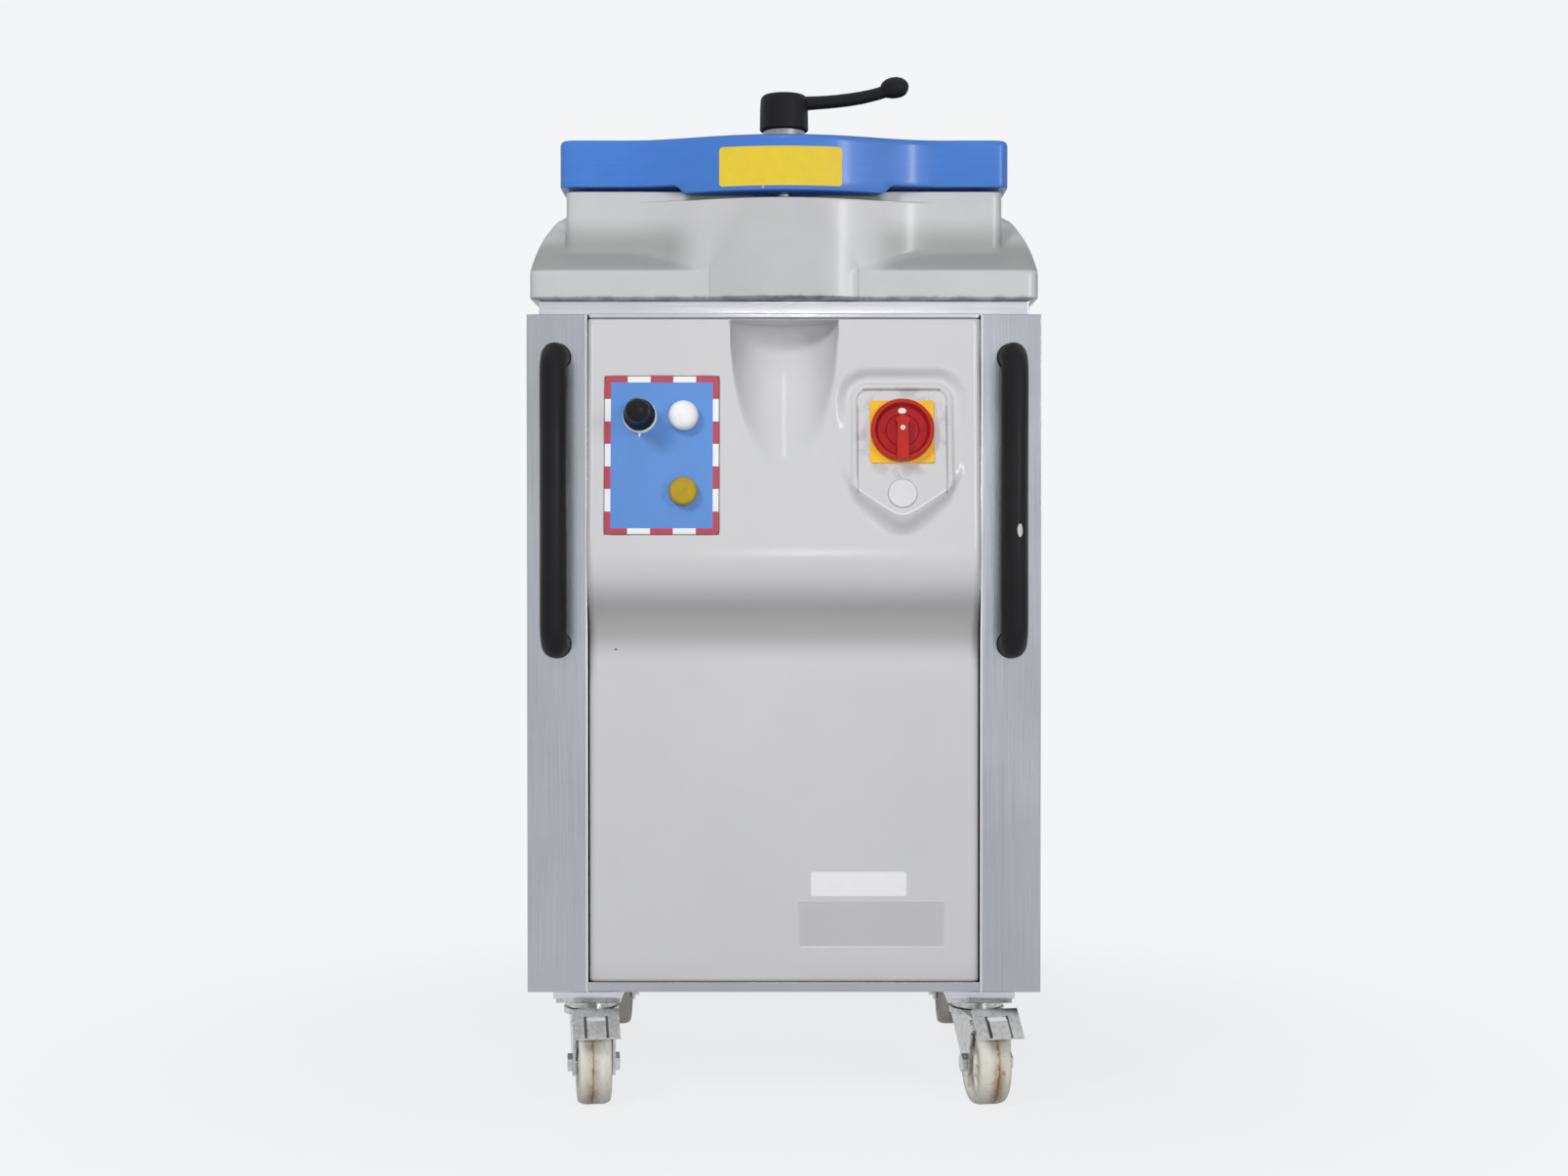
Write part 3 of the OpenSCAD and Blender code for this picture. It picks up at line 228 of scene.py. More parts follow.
class Value:
    """A node socket that takes part in sums and products."""

    def __init__(self, shader, socket):
        self.shader = shader
        self.socket = socket

    def _math(self, kind, first, second):
        return self.shader.node("ShaderNodeMath", {"operation": kind}, {0: first, 1: second}).out()

    def __rsub__(self, other):
        return self._math("SUBTRACT", other, self)

    __add__ = __radd__ = joined("ADD")
    __sub__ = joined("SUBTRACT")
    __mul__ = joined("MULTIPLY")
    __truediv__ = joined("DIVIDE")
    __mod__ = joined("FLOORED_MODULO")
    __pow__ = joined("POWER")
    __gt__ = joined("GREATER_THAN")
    __lt__ = joined("LESS_THAN")

    # The value without its sign, and the lesser and the greater of two values
    size = joined("ABSOLUTE")
    low = joined("MINIMUM")
    high = joined("MAXIMUM")


class Made:
    """A node that has been made, with its outputs at hand."""

    def __init__(self, shader, node):
        self.shader = shader
        self.node = node

    def out(self, key=0):
        """One of the outputs."""
        return Value(self.shader, self.node.outputs[key])


class Shader:
    """One material, or the world, and the nodes that colour it."""

    def __init__(self, name, world=None):
        self.owner = world or bpy.data.materials.new(name)
        self.owner.use_nodes = True
        self.tree = self.owner.node_tree
        self.tree.nodes.clear()
        self.output = self.tree.nodes.new("ShaderNodeOutputWorld" if world else "ShaderNodeOutputMaterial")
        self._place = None

    def end(self, value):
        """Leads a shader to the output."""
        self.tree.links.new(value.socket, self.output.inputs[0])

    def node(self, kind, settings=None, inputs=None):
        """Makes a node of one type, with its settings first and then its sockets."""
        node = self.tree.nodes.new(kind)
        for key, value in (settings or {}).items():
            setattr(node, key, value)
        for key, value in (inputs or {}).items():
            if isinstance(value, Value):
                self.tree.links.new(value.socket, node.inputs[key])
            else:
                node.inputs[key].default_value = value
        return Made(self, node)

    def place(self):
        """Object coordinates, in metres."""
        if self._place is None:
            self._place = self.node("ShaderNodeTexCoord").out("Object")
        return self._place

    def axes(self):
        """The X, Y and Z of a point."""
        made = self.node("ShaderNodeSeparateXYZ", None, {0: self.place()})
        return made.out(0), made.out(1), made.out(2)

    def stretched(self, scale, shift=(0.0, 0.0, 0.0)):
        """Object coordinates, scaled along each axis and shifted."""
        inputs = {"Vector": self.place(), "Scale": scale, "Location": shift}
        return self.node("ShaderNodeMapping", None, inputs).out()

    def noise(self, scale, detail=3.0, rough=0.55, at=None):
        """Cloudy noise between 0 and 1."""
        inputs = {"Vector": at or self.place(), "Scale": scale, "Detail": detail, "Roughness": rough}
        return self.node("ShaderNodeTexNoise", {"noise_dimensions": "3D"}, inputs).out(0)

    def cells(self, scale):
        """Distance to the nearest of many scattered points."""
        return self.node("ShaderNodeTexVoronoi", None, {"Vector": self.place(), "Scale": scale}).out(0)

    def step(self, value, low, high):
        """0 below low, 1 above high, smooth between."""
        inputs = {0: value, 1: low, 2: high, 3: 0.0, 4: 1.0}
        return self.node("ShaderNodeMapRange", {"interpolation_type": "SMOOTHSTEP"}, inputs).out(0)

    def below(self, value, low, high):
        """1 below low, 0 above high, smooth between."""
        return 1.0 - self.step(value, low, high)

    def patches(self, low, high, *noise):
        """Where a cloudy noise passes from low to high."""
        return self.step(self.noise(*noise), low, high)

    def mix(self, share, first, second):
        """A colour between two colours."""
        settings = {"data_type": "RGBA", "blend_type": "MIX"}
        first, second = (c if isinstance(c, Value) else (*c, 1.0) for c in (first, second))
        return self.node("ShaderNodeMix", settings, {0: share, 6: first, 7: second}).out(2)

    def bump(self, height, depth, strength):
        """A surface normal from a height."""
        inputs = {"Height": height, "Distance": depth, "Strength": strength}
        return self.node("ShaderNodeBump", None, inputs).out()

    def surface(self, **sockets):
        """Ends the material in a principled surface; in a socket's name an underscore stands for a space."""
        inputs = {key.replace("_", " "): value for key, value in sockets.items()}
        self.end(self.node("ShaderNodeBsdfPrincipled", None, inputs).out())
        return self.owner


# Mesh building
def rounded(points, radius, steps=6):
    """An outline whose corners are arcs."""
    outline = []
    for before, corner, after in zip(points[-1:] + points[:-1], points, points[1:] + points[:1]):
        corner = Vector(corner)
        first, second = (Vector(before) - corner).normalized(), (Vector(after) - corner).normalized()
        half = first.angle(second) / 2
        centre = corner + (first + second).normalized() * (radius / math.sin(half))
        start = corner + first * (radius / math.tan(half)) - centre
        end = corner + second * (radius / math.tan(half)) - centre
        sweep = math.atan2(start.x * end.y - start.y * end.x, start.dot(end))
        for i in range(steps + 1):
            turn = sweep * i / steps
            outline.append((centre.x + start.x * math.cos(turn) - start.y * math.sin(turn),
                            centre.y + start.x * math.sin(turn) + start.y * math.cos(turn)))
    return outline


def rectangle(width, height, middle=(0.0, 0.0)):
    """The corners of an upright rectangle."""
    x, y = middle
    return [(x - width / 2, y - height / 2), (x + width / 2, y - height / 2),
            (x + width / 2, y + height / 2), (x - width / 2, y + height / 2)]


def fillet(profile, radius, steps=5):
    """A turned profile of (radius, height) points whose inner corners are rounded."""
    smooth = [profile[0]]
    for before, corner, after in zip(profile, profile[1:], profile[2:]):
        corner = Vector(corner)
        first, second = Vector(before) - corner, Vector(after) - corner
        reach = min(radius, first.length * 0.48, second.length * 0.48)
        start, end = corner + first.normalized() * reach, corner + second.normalized() * reach
        for i in range(steps + 1):
            t = i / steps
            point = start * (1 - t) ** 2 + corner * 2 * t * (1 - t) + end * t ** 2
            smooth.append((point.x, point.y))
    return smooth + [profile[-1]]


def ease(low, high, value):
    """0 below low, 1 above high, smooth between."""
    t = min(1.0, max(0.0, (value - low) / (high - low)))
    return t * t * (3 - 2 * t)


def soft_max(first, second, soft):
    """The greater of two values, with a soft crossing."""
    blend = max(soft - abs(first - second), 0.0) / soft
    return max(first, second) + blend * blend * soft / 4


def round_turn(count):
    """Angles once round, with both ends."""
    return [TURN * i / count for i in range(count + 1)]


def turn_to(direction, roll=Z_AXIS):
    """A turn that takes Z to a direction, with X square to roll."""
    z = Vector(direction).normalized()
    x = roll.cross(z) if abs(z.dot(roll)) < 0.999 else X_AXIS.copy()
    x.normalize()
    return Matrix((x, z.cross(x), z)).transposed().to_4x4()


class Work:
    """A mesh under work, with the few operations that this machine's pieces need."""

    def __init__(self):
        self.bm = bmesh.new()

    def _since(self, before):
        return [v for v in self.bm.verts if v not in before]

    @staticmethod
    def _edges(verts):
        """The edges at some vertices, each once and in the same order each run."""
        return list(dict.fromkeys(e for v in verts for e in v.link_edges))

    def _soften(self, edges, width, segments):
        bmesh.ops.bevel(self.bm, geom=edges, offset=width, offset_type="OFFSET", segments=segments,
                        profile=0.5, affect="EDGES", clamp_overlap=True, material=-1)

    def box(self, low, high, edge=0.0, segments=2, at=Matrix()):
        """A box between two corners, with softened edges."""
        low, high = Vector(low), Vector(high)
        place = at @ Matrix.Translation((low + high) / 2) @ Matrix.Diagonal((*(high - low), 1.0))
        verts = bmesh.ops.create_cube(self.bm, size=1.0, matrix=place)["verts"]
        if edge:
            self._soften(self._edges(verts), edge, segments)

    def turned(self, profile, at=Matrix(), steps=48):
        """A profile of (radius, height) points, spun about Z."""
        before = set(self.bm.verts)
        verts = [self.bm.verts.new((r, 0.0, z)) for r, z in profile]
        edges = [self.bm.edges.new(pair) for pair in zip(verts, verts[1:])]
        bmesh.ops.spin(self.bm, geom=verts + edges, cent=(0, 0, 0), axis=(0, 0, 1), angle=TURN,
                       steps=steps, use_merge=True, use_normal_flip=False, use_duplicate=False,
                       dvec=(0, 0, 0), space=Matrix())
        bmesh.ops.remove_doubles(self.bm, verts=self._since(before), dist=1e-7)
        bmesh.ops.transform(self.bm, matrix=at, verts=self._since(before), space=Matrix())

    def rod(self, radius, low, high, at=Matrix(), steps=48):
        """A plain round bar along Z."""
        self.turned([(0, low), (radius, low), (radius, high), (0, high)], at, steps)

    def prism(self, outline, low, high, at=Matrix(), edge=0.0, segments=3):
        """A flat outline drawn out along Z, with a softened top edge."""
        before = set(self.bm.verts)
        face = self.bm.faces.new([self.bm.verts.new((x, y, low)) for x, y in outline])
        grown = bmesh.ops.extrude_face_region(self.bm, geom=[face])["geom"]
        top = [g for g in grown if isinstance(g, bmesh.types.BMVert)]
        bmesh.ops.translate(self.bm, vec=(0, 0, high - low), verts=top, space=Matrix())
        if edge:
            self._soften([g for g in grown if isinstance(g, bmesh.types.BMEdge)], edge, segments)
        bmesh.ops.transform(self.bm, matrix=at, verts=self._since(before), space=Matrix())

    def sheet(self, across, along, where, ring=False, caps=False):
        """A grid laid over where(u, v), closed round u as a ring, with its two ends capped."""
        before = set(self.bm.verts)
        bmesh.ops.create_grid(self.bm, x_segments=len(across) - 1, y_segments=len(along) - 1, size=1.0)
        made = self._since(before)
        for vert in made:
            column = round((vert.co.x + 1) / 2 * (len(across) - 1))
            row = round((vert.co.y + 1) / 2 * (len(along) - 1))
            vert.co = where(across[column], along[row])
        if ring:
            bmesh.ops.remove_doubles(self.bm, verts=made, dist=1e-7)
            made = self._since(before)
            bmesh.ops.dissolve_degenerate(self.bm, dist=1e-7, edges=self._edges(made))
        if caps:
            open_edges = [e for e in self._edges(self._since(before)) if e.is_boundary]
            bmesh.ops.holes_fill(self.bm, edges=open_edges, sides=0)

    def tube(self, path, radius, around=20):
        """A round bar along a path; the radius is a number or a list."""
        points = [Vector(p) for p in path]
        radii = radius if isinstance(radius, list) else [radius] * len(points)
        ways = [(b - a).normalized() for a, b in zip(points, points[1:])]
        tangents = [ways[0]] + [(a + b).normalized() for a, b in zip(ways, ways[1:])] + [ways[-1]]
        side = tangents[0].orthogonal().normalized()
        frames = []
        for i, tangent in enumerate(tangents):
            if i:
                side = tangents[i - 1].rotation_difference(tangent) @ side
            frames.append((side.copy(), tangent.cross(side)))

        def where(turn, row):
            first, second = frames[row]
            return points[row] + (first * math.cos(turn) + second * math.sin(turn)) * radii[row]

        self.sheet(round_turn(around), range(len(points)), where, ring=True, caps=True)

    def copy_of(self, node, edge):
        """A merged copy of a solid of the frame, with its sharp edges softened."""
        flat, sharp = math.radians(1.0), math.radians(30.0)
        before = set(self.bm.verts)
        self.bm.from_mesh(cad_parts[node].data)
        bmesh.ops.remove_doubles(self.bm, verts=self._since(before), dist=1e-6)
        verts = self._since(before)
        bmesh.ops.dissolve_limit(self.bm, angle_limit=flat, use_dissolve_boundaries=False, verts=verts,
                                 edges=self._edges(verts), delimit=set())
        edges = self._edges(self._since(before))
        self._soften([e for e in edges if len(e.link_faces) == 2 and e.calc_face_angle(0.0) > sharp], edge, 2)

    def minus(self, other):
        """Cuts another shape out of this one."""
        shapes = []
        for work in (self, other):
            bmesh.ops.recalc_face_normals(work.bm, faces=work.bm.faces)
            mesh = bpy.data.meshes.new("shape")
            work.bm.to_mesh(mesh)
            work.bm.free()
            shapes.append(bpy.data.objects.new("shape", mesh))
            bpy.context.scene.collection.objects.link(shapes[-1])
        cut = shapes[0].modifiers.new("Cut", "BOOLEAN")
        cut.operation, cut.solver, cut.object = "DIFFERENCE", "EXACT", shapes[1]
        graph = bpy.context.evaluated_depsgraph_get()
        left = bpy.data.meshes.new_from_object(shapes[0].evaluated_get(graph))
        self.bm = bmesh.new()
        self.bm.from_mesh(left)
        spent = [left] + [shape.data for shape in shapes]
        for shape in shapes:
            bpy.data.objects.remove(shape)
        for mesh in spent:
            bpy.data.meshes.remove(mesh)

    def piece(self, name, material, body, slot, replaced=(), sharp=40.0, weighted=False):
        """Ends the work as a named piece that rides on its body."""
        bmesh.ops.recalc_face_normals(self.bm, faces=self.bm.faces)
        mesh = bpy.data.meshes.new(name)
        self.bm.to_mesh(mesh)
        self.bm.free()
        mesh.materials.append(material)
        mesh.shade_smooth()
        mesh.set_sharp_from_angle(angle=math.radians(sharp))
        obj = bpy.data.objects.new(name, mesh)
        bpy.context.scene.collection.objects.link(obj)
        if weighted:
            obj.modifiers.new("Even shading", "WEIGHTED_NORMAL").keep_sharp = True
        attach(obj, body)
        if replaced:
            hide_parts(*replaced)
        return obj


# Finishes
def tones(name, share):
    """A colour of the finishes, a little darker and a little lighter."""
    base = getattr(bpy.context.scene.divider_colours, name)
    return tuple(c * (1 - share) for c in base), tuple(min(1.0, c * (1 + share)) for c in base)


def mottled(shader, cloud, key, share, low=0.3, high=0.7):
    """A colour of the finishes that varies with a cloudy value."""
    return shader.mix(shader.step(cloud, low, high), *tones(key, share))


def spot(shader, middle, size):
    """A small ragged mark: 1 inside, 0 outside."""
    shift = tuple(-m / s for m, s in zip(middle, size))
    at = shader.stretched(tuple(1 / s for s in size), shift)
    far = shader.node("ShaderNodeVectorMath", {"operation": "LENGTH"}, {0: at}).out("Value")
    ragged = shader.noise(300.0, 3.0) * 0.35
    return shader.below(far + ragged, 1.0, 1.08)


def brushed_steel(name, key, grain, fold=None):
    """Brushed sheet with a wiped film; a front fold this far from the middle gets a painted highlight."""
    shader = Shader(name)
    lines = shader.noise(1.0, 3.0, 0.65, shader.stretched(grain))
    film = shader.noise(6.0, 4.0, 0.6)
    long_marks = shader.noise(1.0, 2.0, 0.5, shader.stretched(tuple(g / 5 for g in grain)))
    marks = shader.step(long_marks, 0.60, 0.78)
    base = mottled(shader, lines * 0.55 + film * 0.45, key, 0.13, 0.28, 0.72)
    base = shader.mix(marks * 0.35, base, tones(key, 0.25)[0])
    if fold:
        x, y, _ = shader.axes()
        # A painted highlight along the post's front fold
        rubbed_and_highlit = shader.below(x.size(), fold + 0.0014, fold + 0.0034) * shader.below(y, -0.2880, -0.2860)
        base = shader.mix(rubbed_and_highlit * 0.60, base, (0.86, 0.87, 0.89))
    return shader.surface(Base_Color=base, Metallic=1.0, Roughness=0.15 + film * 0.10 + lines * 0.06,
                          Normal=shader.bump(lines, 0.00008, 0.08))


def moulded_grey(name):
    """Satin moulded panel with fine grain, soil at its foot and rubbed patches, with painted shade in its
    gaps, along edges and under the S-curve, and painted highlights along edges.
    """
    shader = Shader(name)
    sizes = bpy.context.scene.divider_panel
    # dark is for painted shade and the rubs, soil for soil, the chip and painted shade in a gap, pale for
    # painted highlights
    dark, soil, pale = (0.14, 0.13, 0.12), (0.12, 0.11, 0.10), (0.90, 0.90, 0.91)
    x, _, z = shader.axes()
    grain, cloud = shader.noise(1500.0, 2.0), shader.noise(5.0, 5.0, 0.6)
    specks = shader.patches(0.70, 0.78, 420.0, 2.0)
    base = mottled(shader, cloud, "grey", 0.022)
    base = shader.mix(specks * 0.10, base, (0.30, 0.29, 0.27))

    # On the podium u runs across and v up; past_tip is the distance below its pointed foot
    u, v = x - sizes.podium_x, (z - sizes.podium_z) / math.cos(sizes.lean + sizes.podium_tilt)
    past_tip = (u * u + 0.0001) ** 0.5 * 0.73 - sizes.podium_down - v
    # A painted highlight along the edge under the podium's tip
    tip_highlight = ((past_tip - 0.0001).size() < 0.0007) * (u.size() < sizes.podium_half)
    base = shader.mix(tip_highlight * 0.6, base, pale)
    # Painted shade in the gap round the blanking plug and along the podium's top and side edges
    from_plug = (u * u + (v + sizes.plug_down) * (v + sizes.plug_down)) ** 0.5
    plug_gap_shade = (from_plug > 0.0148) * (from_plug < 0.0157)
    top_edge_shade = ((v - sizes.podium_up).size() < 0.0013) * (u.size() < 0.0410)
    side_edge_shade = ((u.size() - 0.0467).size() < 0.0010) * (v.size() < 0.0480)
    from_switch = (u * u + (v - sizes.switch_up) * (v - sizes.switch_up)) ** 0.5
    rubs = (shader.below((from_switch - 0.0440).size(), 0.002, 0.010)
            * shader.patches(0.47, 0.56, 70.0, 4.0, 0.6))
    # Painted shade on the downward-facing slope under the podium's tip
    slope = (shader.step(past_tip, 0.0004, 0.0020) * shader.below(past_tip, 0.008, 0.022)
             * shader.below(u.size(), 0.046, 0.060))

    # Painted shade under the S-curve; the painted shade, with the real rubs round the switch, then darkens
    # the base
    under = shader.below((z - 0.524).size(), 0.010, 0.046) * (0.40 + cloud * 0.14)
    marks = plug_gap_shade * 0.60 + top_edge_shade * 0.55 + side_edge_shade * 0.30 + rubs * 0.22 + under + slope * 0.24
    base = shader.mix(marks.low(1.0), base, dark)

    # Painted highlights along the side edges of the upper face, then soil at the foot, a chip, the shallow
    # recess a little darker, and painted shade in the gap round the control plate
    rim = shader.below((x.size() - 0.2025).size(), 0.0004, 0.0017) * shader.step(z, 0.580, 0.630)
    base = shader.mix(rim * shader.below(z, 0.836, 0.840) * 0.40, base, pale)
    grime = shader.below(z, 0.140, 0.168) * shader.step(cloud, 0.42, 0.66)
    chip = spot(shader, (-0.1790, -0.2930, 0.4935), (0.0022, 0.02, 0.0016))
    shallow = (((x - sizes.shallow_x).size() < sizes.shallow_w / 2 - 0.7 * MM)
               * ((z - sizes.shallow_z).size() < sizes.shallow_h / 2 - 0.7 * MM))
    # Painted shade in the narrow gap round the control plate
    plate_gap_shade = (((x - sizes.plate_x).size() < sizes.plate_w / 2 + 0.8 * MM)
                 * ((z - sizes.plate_z).size() < sizes.plate_h / 2 + 0.5 * MM))
    soil_and_shade = grime * 0.12 + chip * 0.75 + shallow * 0.16 + plate_gap_shade * 0.92
    base = shader.mix(soil_and_shade.low(1.0), base, soil)
    return shader.surface(Base_Color=base, Roughness=0.36 + cloud * 0.12, IOR=1.40, Coat_Weight=0.45,
                          Coat_Roughness=0.16, Normal=shader.bump(grain + cloud * 0.5, 0.00005, 0.12))


def painted_casting(name):
    """Grey painted casting: orange peel, dirty towards its foot, with painted shade on the brow, in the
    creases and under the lid.
    """
    shader = Shader(name)
    x, y, z = shader.axes()
    peel, cloud = shader.noise(260.0, 2.0), shader.noise(9.0, 5.0, 0.65)
    base = mottled(shader, cloud, "casting", 0.035, 0.32, 0.68)
    seam = shader.below(z, 0.866, 0.872) * shader.patches(0.42, 0.60, 45.0, 4.0)
    specks = shader.patches(0.71, 0.78, 380.0, 2.0)

    # On the front: painted shade on the brow's slope, the bulge's wall a little darker, painted shade in the
    # creases beside it and in the gap under the lid
    front = shader.below(y, -0.262, -0.235)
    wall = front * shader.below(z, 0.970, 0.976)
    brow = shader.step(z, 0.8955, 0.8985) * shader.below(z, 0.925, 0.960) * front
    brow_shade = brow * shader.step(x.size(), 0.085, 0.125) * (0.32 + cloud * 0.30)
    middle = ((0.0795 - x.size()) / (0.0016 + (z - 0.902).high(0.0) * 0.7)).low(1.0).high(0.0)
    # Painted shade in the creases at both sides of the bulge
    crease_shade = ((x.size() - 0.0793).size() < 0.0008) * shader.below(z, 0.896, 0.908) * wall
    # Painted shadow in the gap under the lid's dropped edge
    lid_gap_shade = shader.step(z, 0.9712, 0.9722) * shader.below(x.size(), 0.098, 0.112) * front
    # This darkening is painted shade, save the bulge's darker wall, and it joins the real dirt at the foot's
    # seam
    film = brow_shade + middle * wall * 0.13 + crease_shade * 0.22 + lid_gap_shade * 0.75
    base = shader.mix((seam * 0.55 + specks * 0.10 + film).low(1.0), base, (0.10, 0.10, 0.09))
    return shader.surface(Base_Color=base, Roughness=0.30 + cloud * 0.14, Coat_Weight=0.25,
                          Coat_Roughness=0.16, Normal=shader.bump(peel, 0.00025, 0.10))


def blue_paint(name):
    """Blue gloss paint with orange peel, faint wiping marks and a few small chips."""
    shader = Shader(name)
    peel, cloud = shader.noise(240.0, 2.0), shader.noise(8.0, 5.0, 0.6)
    wiped = shader.noise(1.0, 3.0, 0.6, shader.stretched((30.0, 30.0, 400.0)))
    base = mottled(shader, cloud * 0.7 + wiped * 0.3, "blue", 0.07, 0.34, 0.66)
    chips = shader.patches(0.735, 0.75, 85.0, 3.0, 0.6)
    base = shader.mix(chips * 0.8, base, (0.50, 0.53, 0.60))
    return shader.surface(Base_Color=base, Roughness=0.30 + cloud * 0.12 + chips * 0.2, IOR=1.38,
                          Coat_Weight=0.20, Coat_Roughness=0.14,
                          Normal=shader.bump(peel - chips * 0.6, 0.00022, 0.12))


def black_coat(name):
    """Black powder coat with fine texture, smoother where hands rub it, and one chip."""
    shader = Shader(name)
    _, _, z = shader.axes()
    grain, cloud = shader.noise(900.0, 3.0), shader.noise(14.0, 4.0)
    base = mottled(shader, cloud, "black", 0.20)
    from_grip = (z - bpy.context.scene.divider_handles.z).size()
    rubbed_and_highlit = shader.step(0.5 - from_grip * 4.0 + cloud * 0.3, 0.15, 0.5)
    chip = spot(shader, (0.2455, -0.3480, 0.6195), (0.0032, 0.02, 0.0085))
    base = shader.mix(chip, base, (0.55, 0.56, 0.56))
    return shader.surface(Base_Color=base, Roughness=0.50 - rubbed_and_highlit * 0.14 + grain * 0.08, IOR=1.28,
                          Normal=shader.bump(grain - chip * 2.0, 0.00012, 0.35))


def black_plastic(name):
    """Black moulded plastic, lightly scuffed."""
    shader = Shader(name)
    grain, scuffs = shader.noise(1100.0, 2.0), shader.patches(0.56, 0.70, 60.0, 5.0, 0.7)
    base = shader.mix(scuffs * 0.35, tones("black", 0.0)[0], (0.030, 0.030, 0.032))
    return shader.surface(Base_Color=base, Roughness=0.34 + scuffs * 0.20, IOR=1.28,
                          Normal=shader.bump(grain, 0.00005, 0.20))


def plain_plastic(name, key, rough, dirt, mottle=0.05, soil=(0.20, 0.16, 0.10)):
    """Coloured plastic with slight mottling and dirt in patches."""
    shader = Shader(name)
    cloud, grain = shader.noise(70.0, 4.0, 0.6), shader.noise(1300.0, 2.0)
    base = mottled(shader, cloud, key, mottle)
    patches = shader.patches(0.54, 0.72, 130.0, 4.0, 0.7)
    base = shader.mix(patches * dirt, base, soil)
    return shader.surface(Base_Color=base, Roughness=rough + cloud * 0.10 + patches * 0.10, IOR=1.36,
                          Normal=shader.bump(grain, 0.00004, 0.25))


def tooled_steel(name, grain, detail, cloudy, shades, metal, rough, bump):
    """Turned or milled steel with fine tool marks."""
    shader = Shader(name)
    lines = shader.noise(1.0, detail, 0.6, shader.stretched(grain))
    cloud = shader.noise(cloudy, 4.0)
    base = shader.mix(shader.step(lines * 0.5 + cloud * 0.5, 0.3, 0.7), *shades)
    return shader.surface(Base_Color=base, Metallic=metal, Roughness=rough + cloud * 0.15,
                          Normal=shader.bump(lines, *bump))


def across_fork(shader, middle, yaw):
    """Distance along the axle of a turned fork, from a middle point, and the height."""
    x, y, z = shader.axes()
    return (x - middle[0]) * math.cos(yaw) + (y - middle[1]) * math.sin(yaw), z


def worn_zinc(name, swivel=None, yaw=0.0):
    """Dulled zinc plate, rusty in spots; on a pedal, painted shade stands for the slits that cut the tread
    free at both sides, and a painted highlight runs along the tread's top edge.
    """
    shader = Shader(name)
    spangle, cloud = shader.cells(160.0), shader.noise(38.0, 5.0, 0.65)
    base = mottled(shader, spangle * 0.6 + cloud * 0.5, "zinc", 0.14, 0.25, 0.75)
    rust = shader.patches(0.62, 0.72, 75.0, 6.0, 0.72)
    base = shader.mix(rust * 0.7, base, (0.17, 0.085, 0.035))
    if swivel:
        across, z = across_fork(shader, swivel, yaw)
        # Painted shade in the slits beside the tread, and a painted highlight along its top edge
        slot = ((across.size() - 0.0114).size() < 0.0014) * ((z - TREAD_Z).size() < 0.0095)
        fold = (across.size() < 0.0100) * ((z - TREAD_Z - 0.0072).size() < 0.0012)
        base = shader.mix(slot * 0.85, base, (0.04, 0.04, 0.04))
        base = shader.mix(fold * 0.8, base, (0.92, 0.93, 0.93))
    return shader.surface(Base_Color=base, Metallic=1.0 - rust * 0.8,
                          Roughness=0.20 + cloud * 0.14 + rust * 0.35,
                          Normal=shader.bump(cloud + rust * 0.4, 0.0003, 0.07))


def stained_nylon(name, middle, yaw):
    """Cream nylon, stained brown in a streak round the middle of the tread."""
    shader = Shader(name)
    cloud = shader.noise(42.0, 6.0, 0.68)
    specks = shader.patches(0.64, 0.70, 210.0, 3.0)
    from_streak = (across_fork(shader, middle, yaw)[0] + (cloud - 0.5) * 0.006).size()
    halo = shader.below(from_streak, 0.0015, 0.0110)
    line = shader.below(from_streak, 0.0002, 0.0020)
    soil = halo * (0.30 + shader.step(cloud, 0.40, 0.58) * 0.45) + line * 0.40 + specks * 0.35
    base = mottled(shader, cloud, "nylon", 0.06)
    base = shader.mix(soil.low(1.0), base, tones("stain", 0.0)[0])
    cuts = shader.patches(0.60, 0.70, 240.0, 4.0)
    return shader.surface(Base_Color=base, Roughness=0.42 + cloud * 0.20,
                          Normal=shader.bump(cloud + cuts * 0.4, 0.0004, 0.25))


def printed_plate(name):
    """Printed control plate: a blue field, an even border of red and white blocks and a small pointer."""
    shader = Shader(name)
    sizes, shades = bpy.context.scene.divider_panel, bpy.context.scene.divider_colours
    paper, red = tuple(shades.paper), tuple(shades.plate_red)
    x, _, z = shader.axes()
    u, v = x - sizes.plate_x, (z - sizes.plate_z) / math.cos(sizes.lean)
    half_w, half_h, band = sizes.plate_w / 2, sizes.plate_h / 2, 0.0062
    blocks_across, blocks_up = 5, 7
    across = ((u + half_w) / (2 * half_w / blocks_across)) % 2.0
    along = ((v + half_h) / (2 * half_h / blocks_up)) % 2.0
    at_side, at_end = u.size() > half_w - band, v.size() > half_h - band
    reddened = (along < 1.0) * at_side + (across < 1.0) * at_end * (1.0 - at_side)
    drop = v - 0.0181
    pointer = ((u + 0.0235).size() < drop * 0.33) * (drop > 0.0) * (drop < 0.0066)
    grain = shader.noise(900.0, 3.0)
    blue = mottled(shader, grain, "plate_blue", 0.03, 0.35, 0.65)
    base = shader.mix(at_side.high(at_end), blue, shader.mix(reddened, paper, red))
    base = shader.mix(pointer, base, paper)
    soil = shader.patches(0.55, 0.75, 60.0, 5.0, 0.7)
    base = shader.mix(soil * 0.05, base, (0.25, 0.24, 0.22))
    return shader.surface(Base_Color=base, Roughness=0.44 + soil * 0.12,
                          Normal=shader.bump(grain, 0.00003, 0.2))


def hammered_paint(name):
    """Dark hammered paint of the tank, the motor and the cylinders."""
    shader = Shader(name)
    dents, cloud = shader.cells(210.0), shader.noise(20.0, 4.0)
    base = shader.mix(shader.step(cloud, 0.3, 0.7), (0.060, 0.066, 0.074), (0.090, 0.098, 0.108))
    return shader.surface(Base_Color=base, Roughness=0.36 + cloud * 0.12,
                          Normal=shader.bump(dents, 0.0003, 0.3))


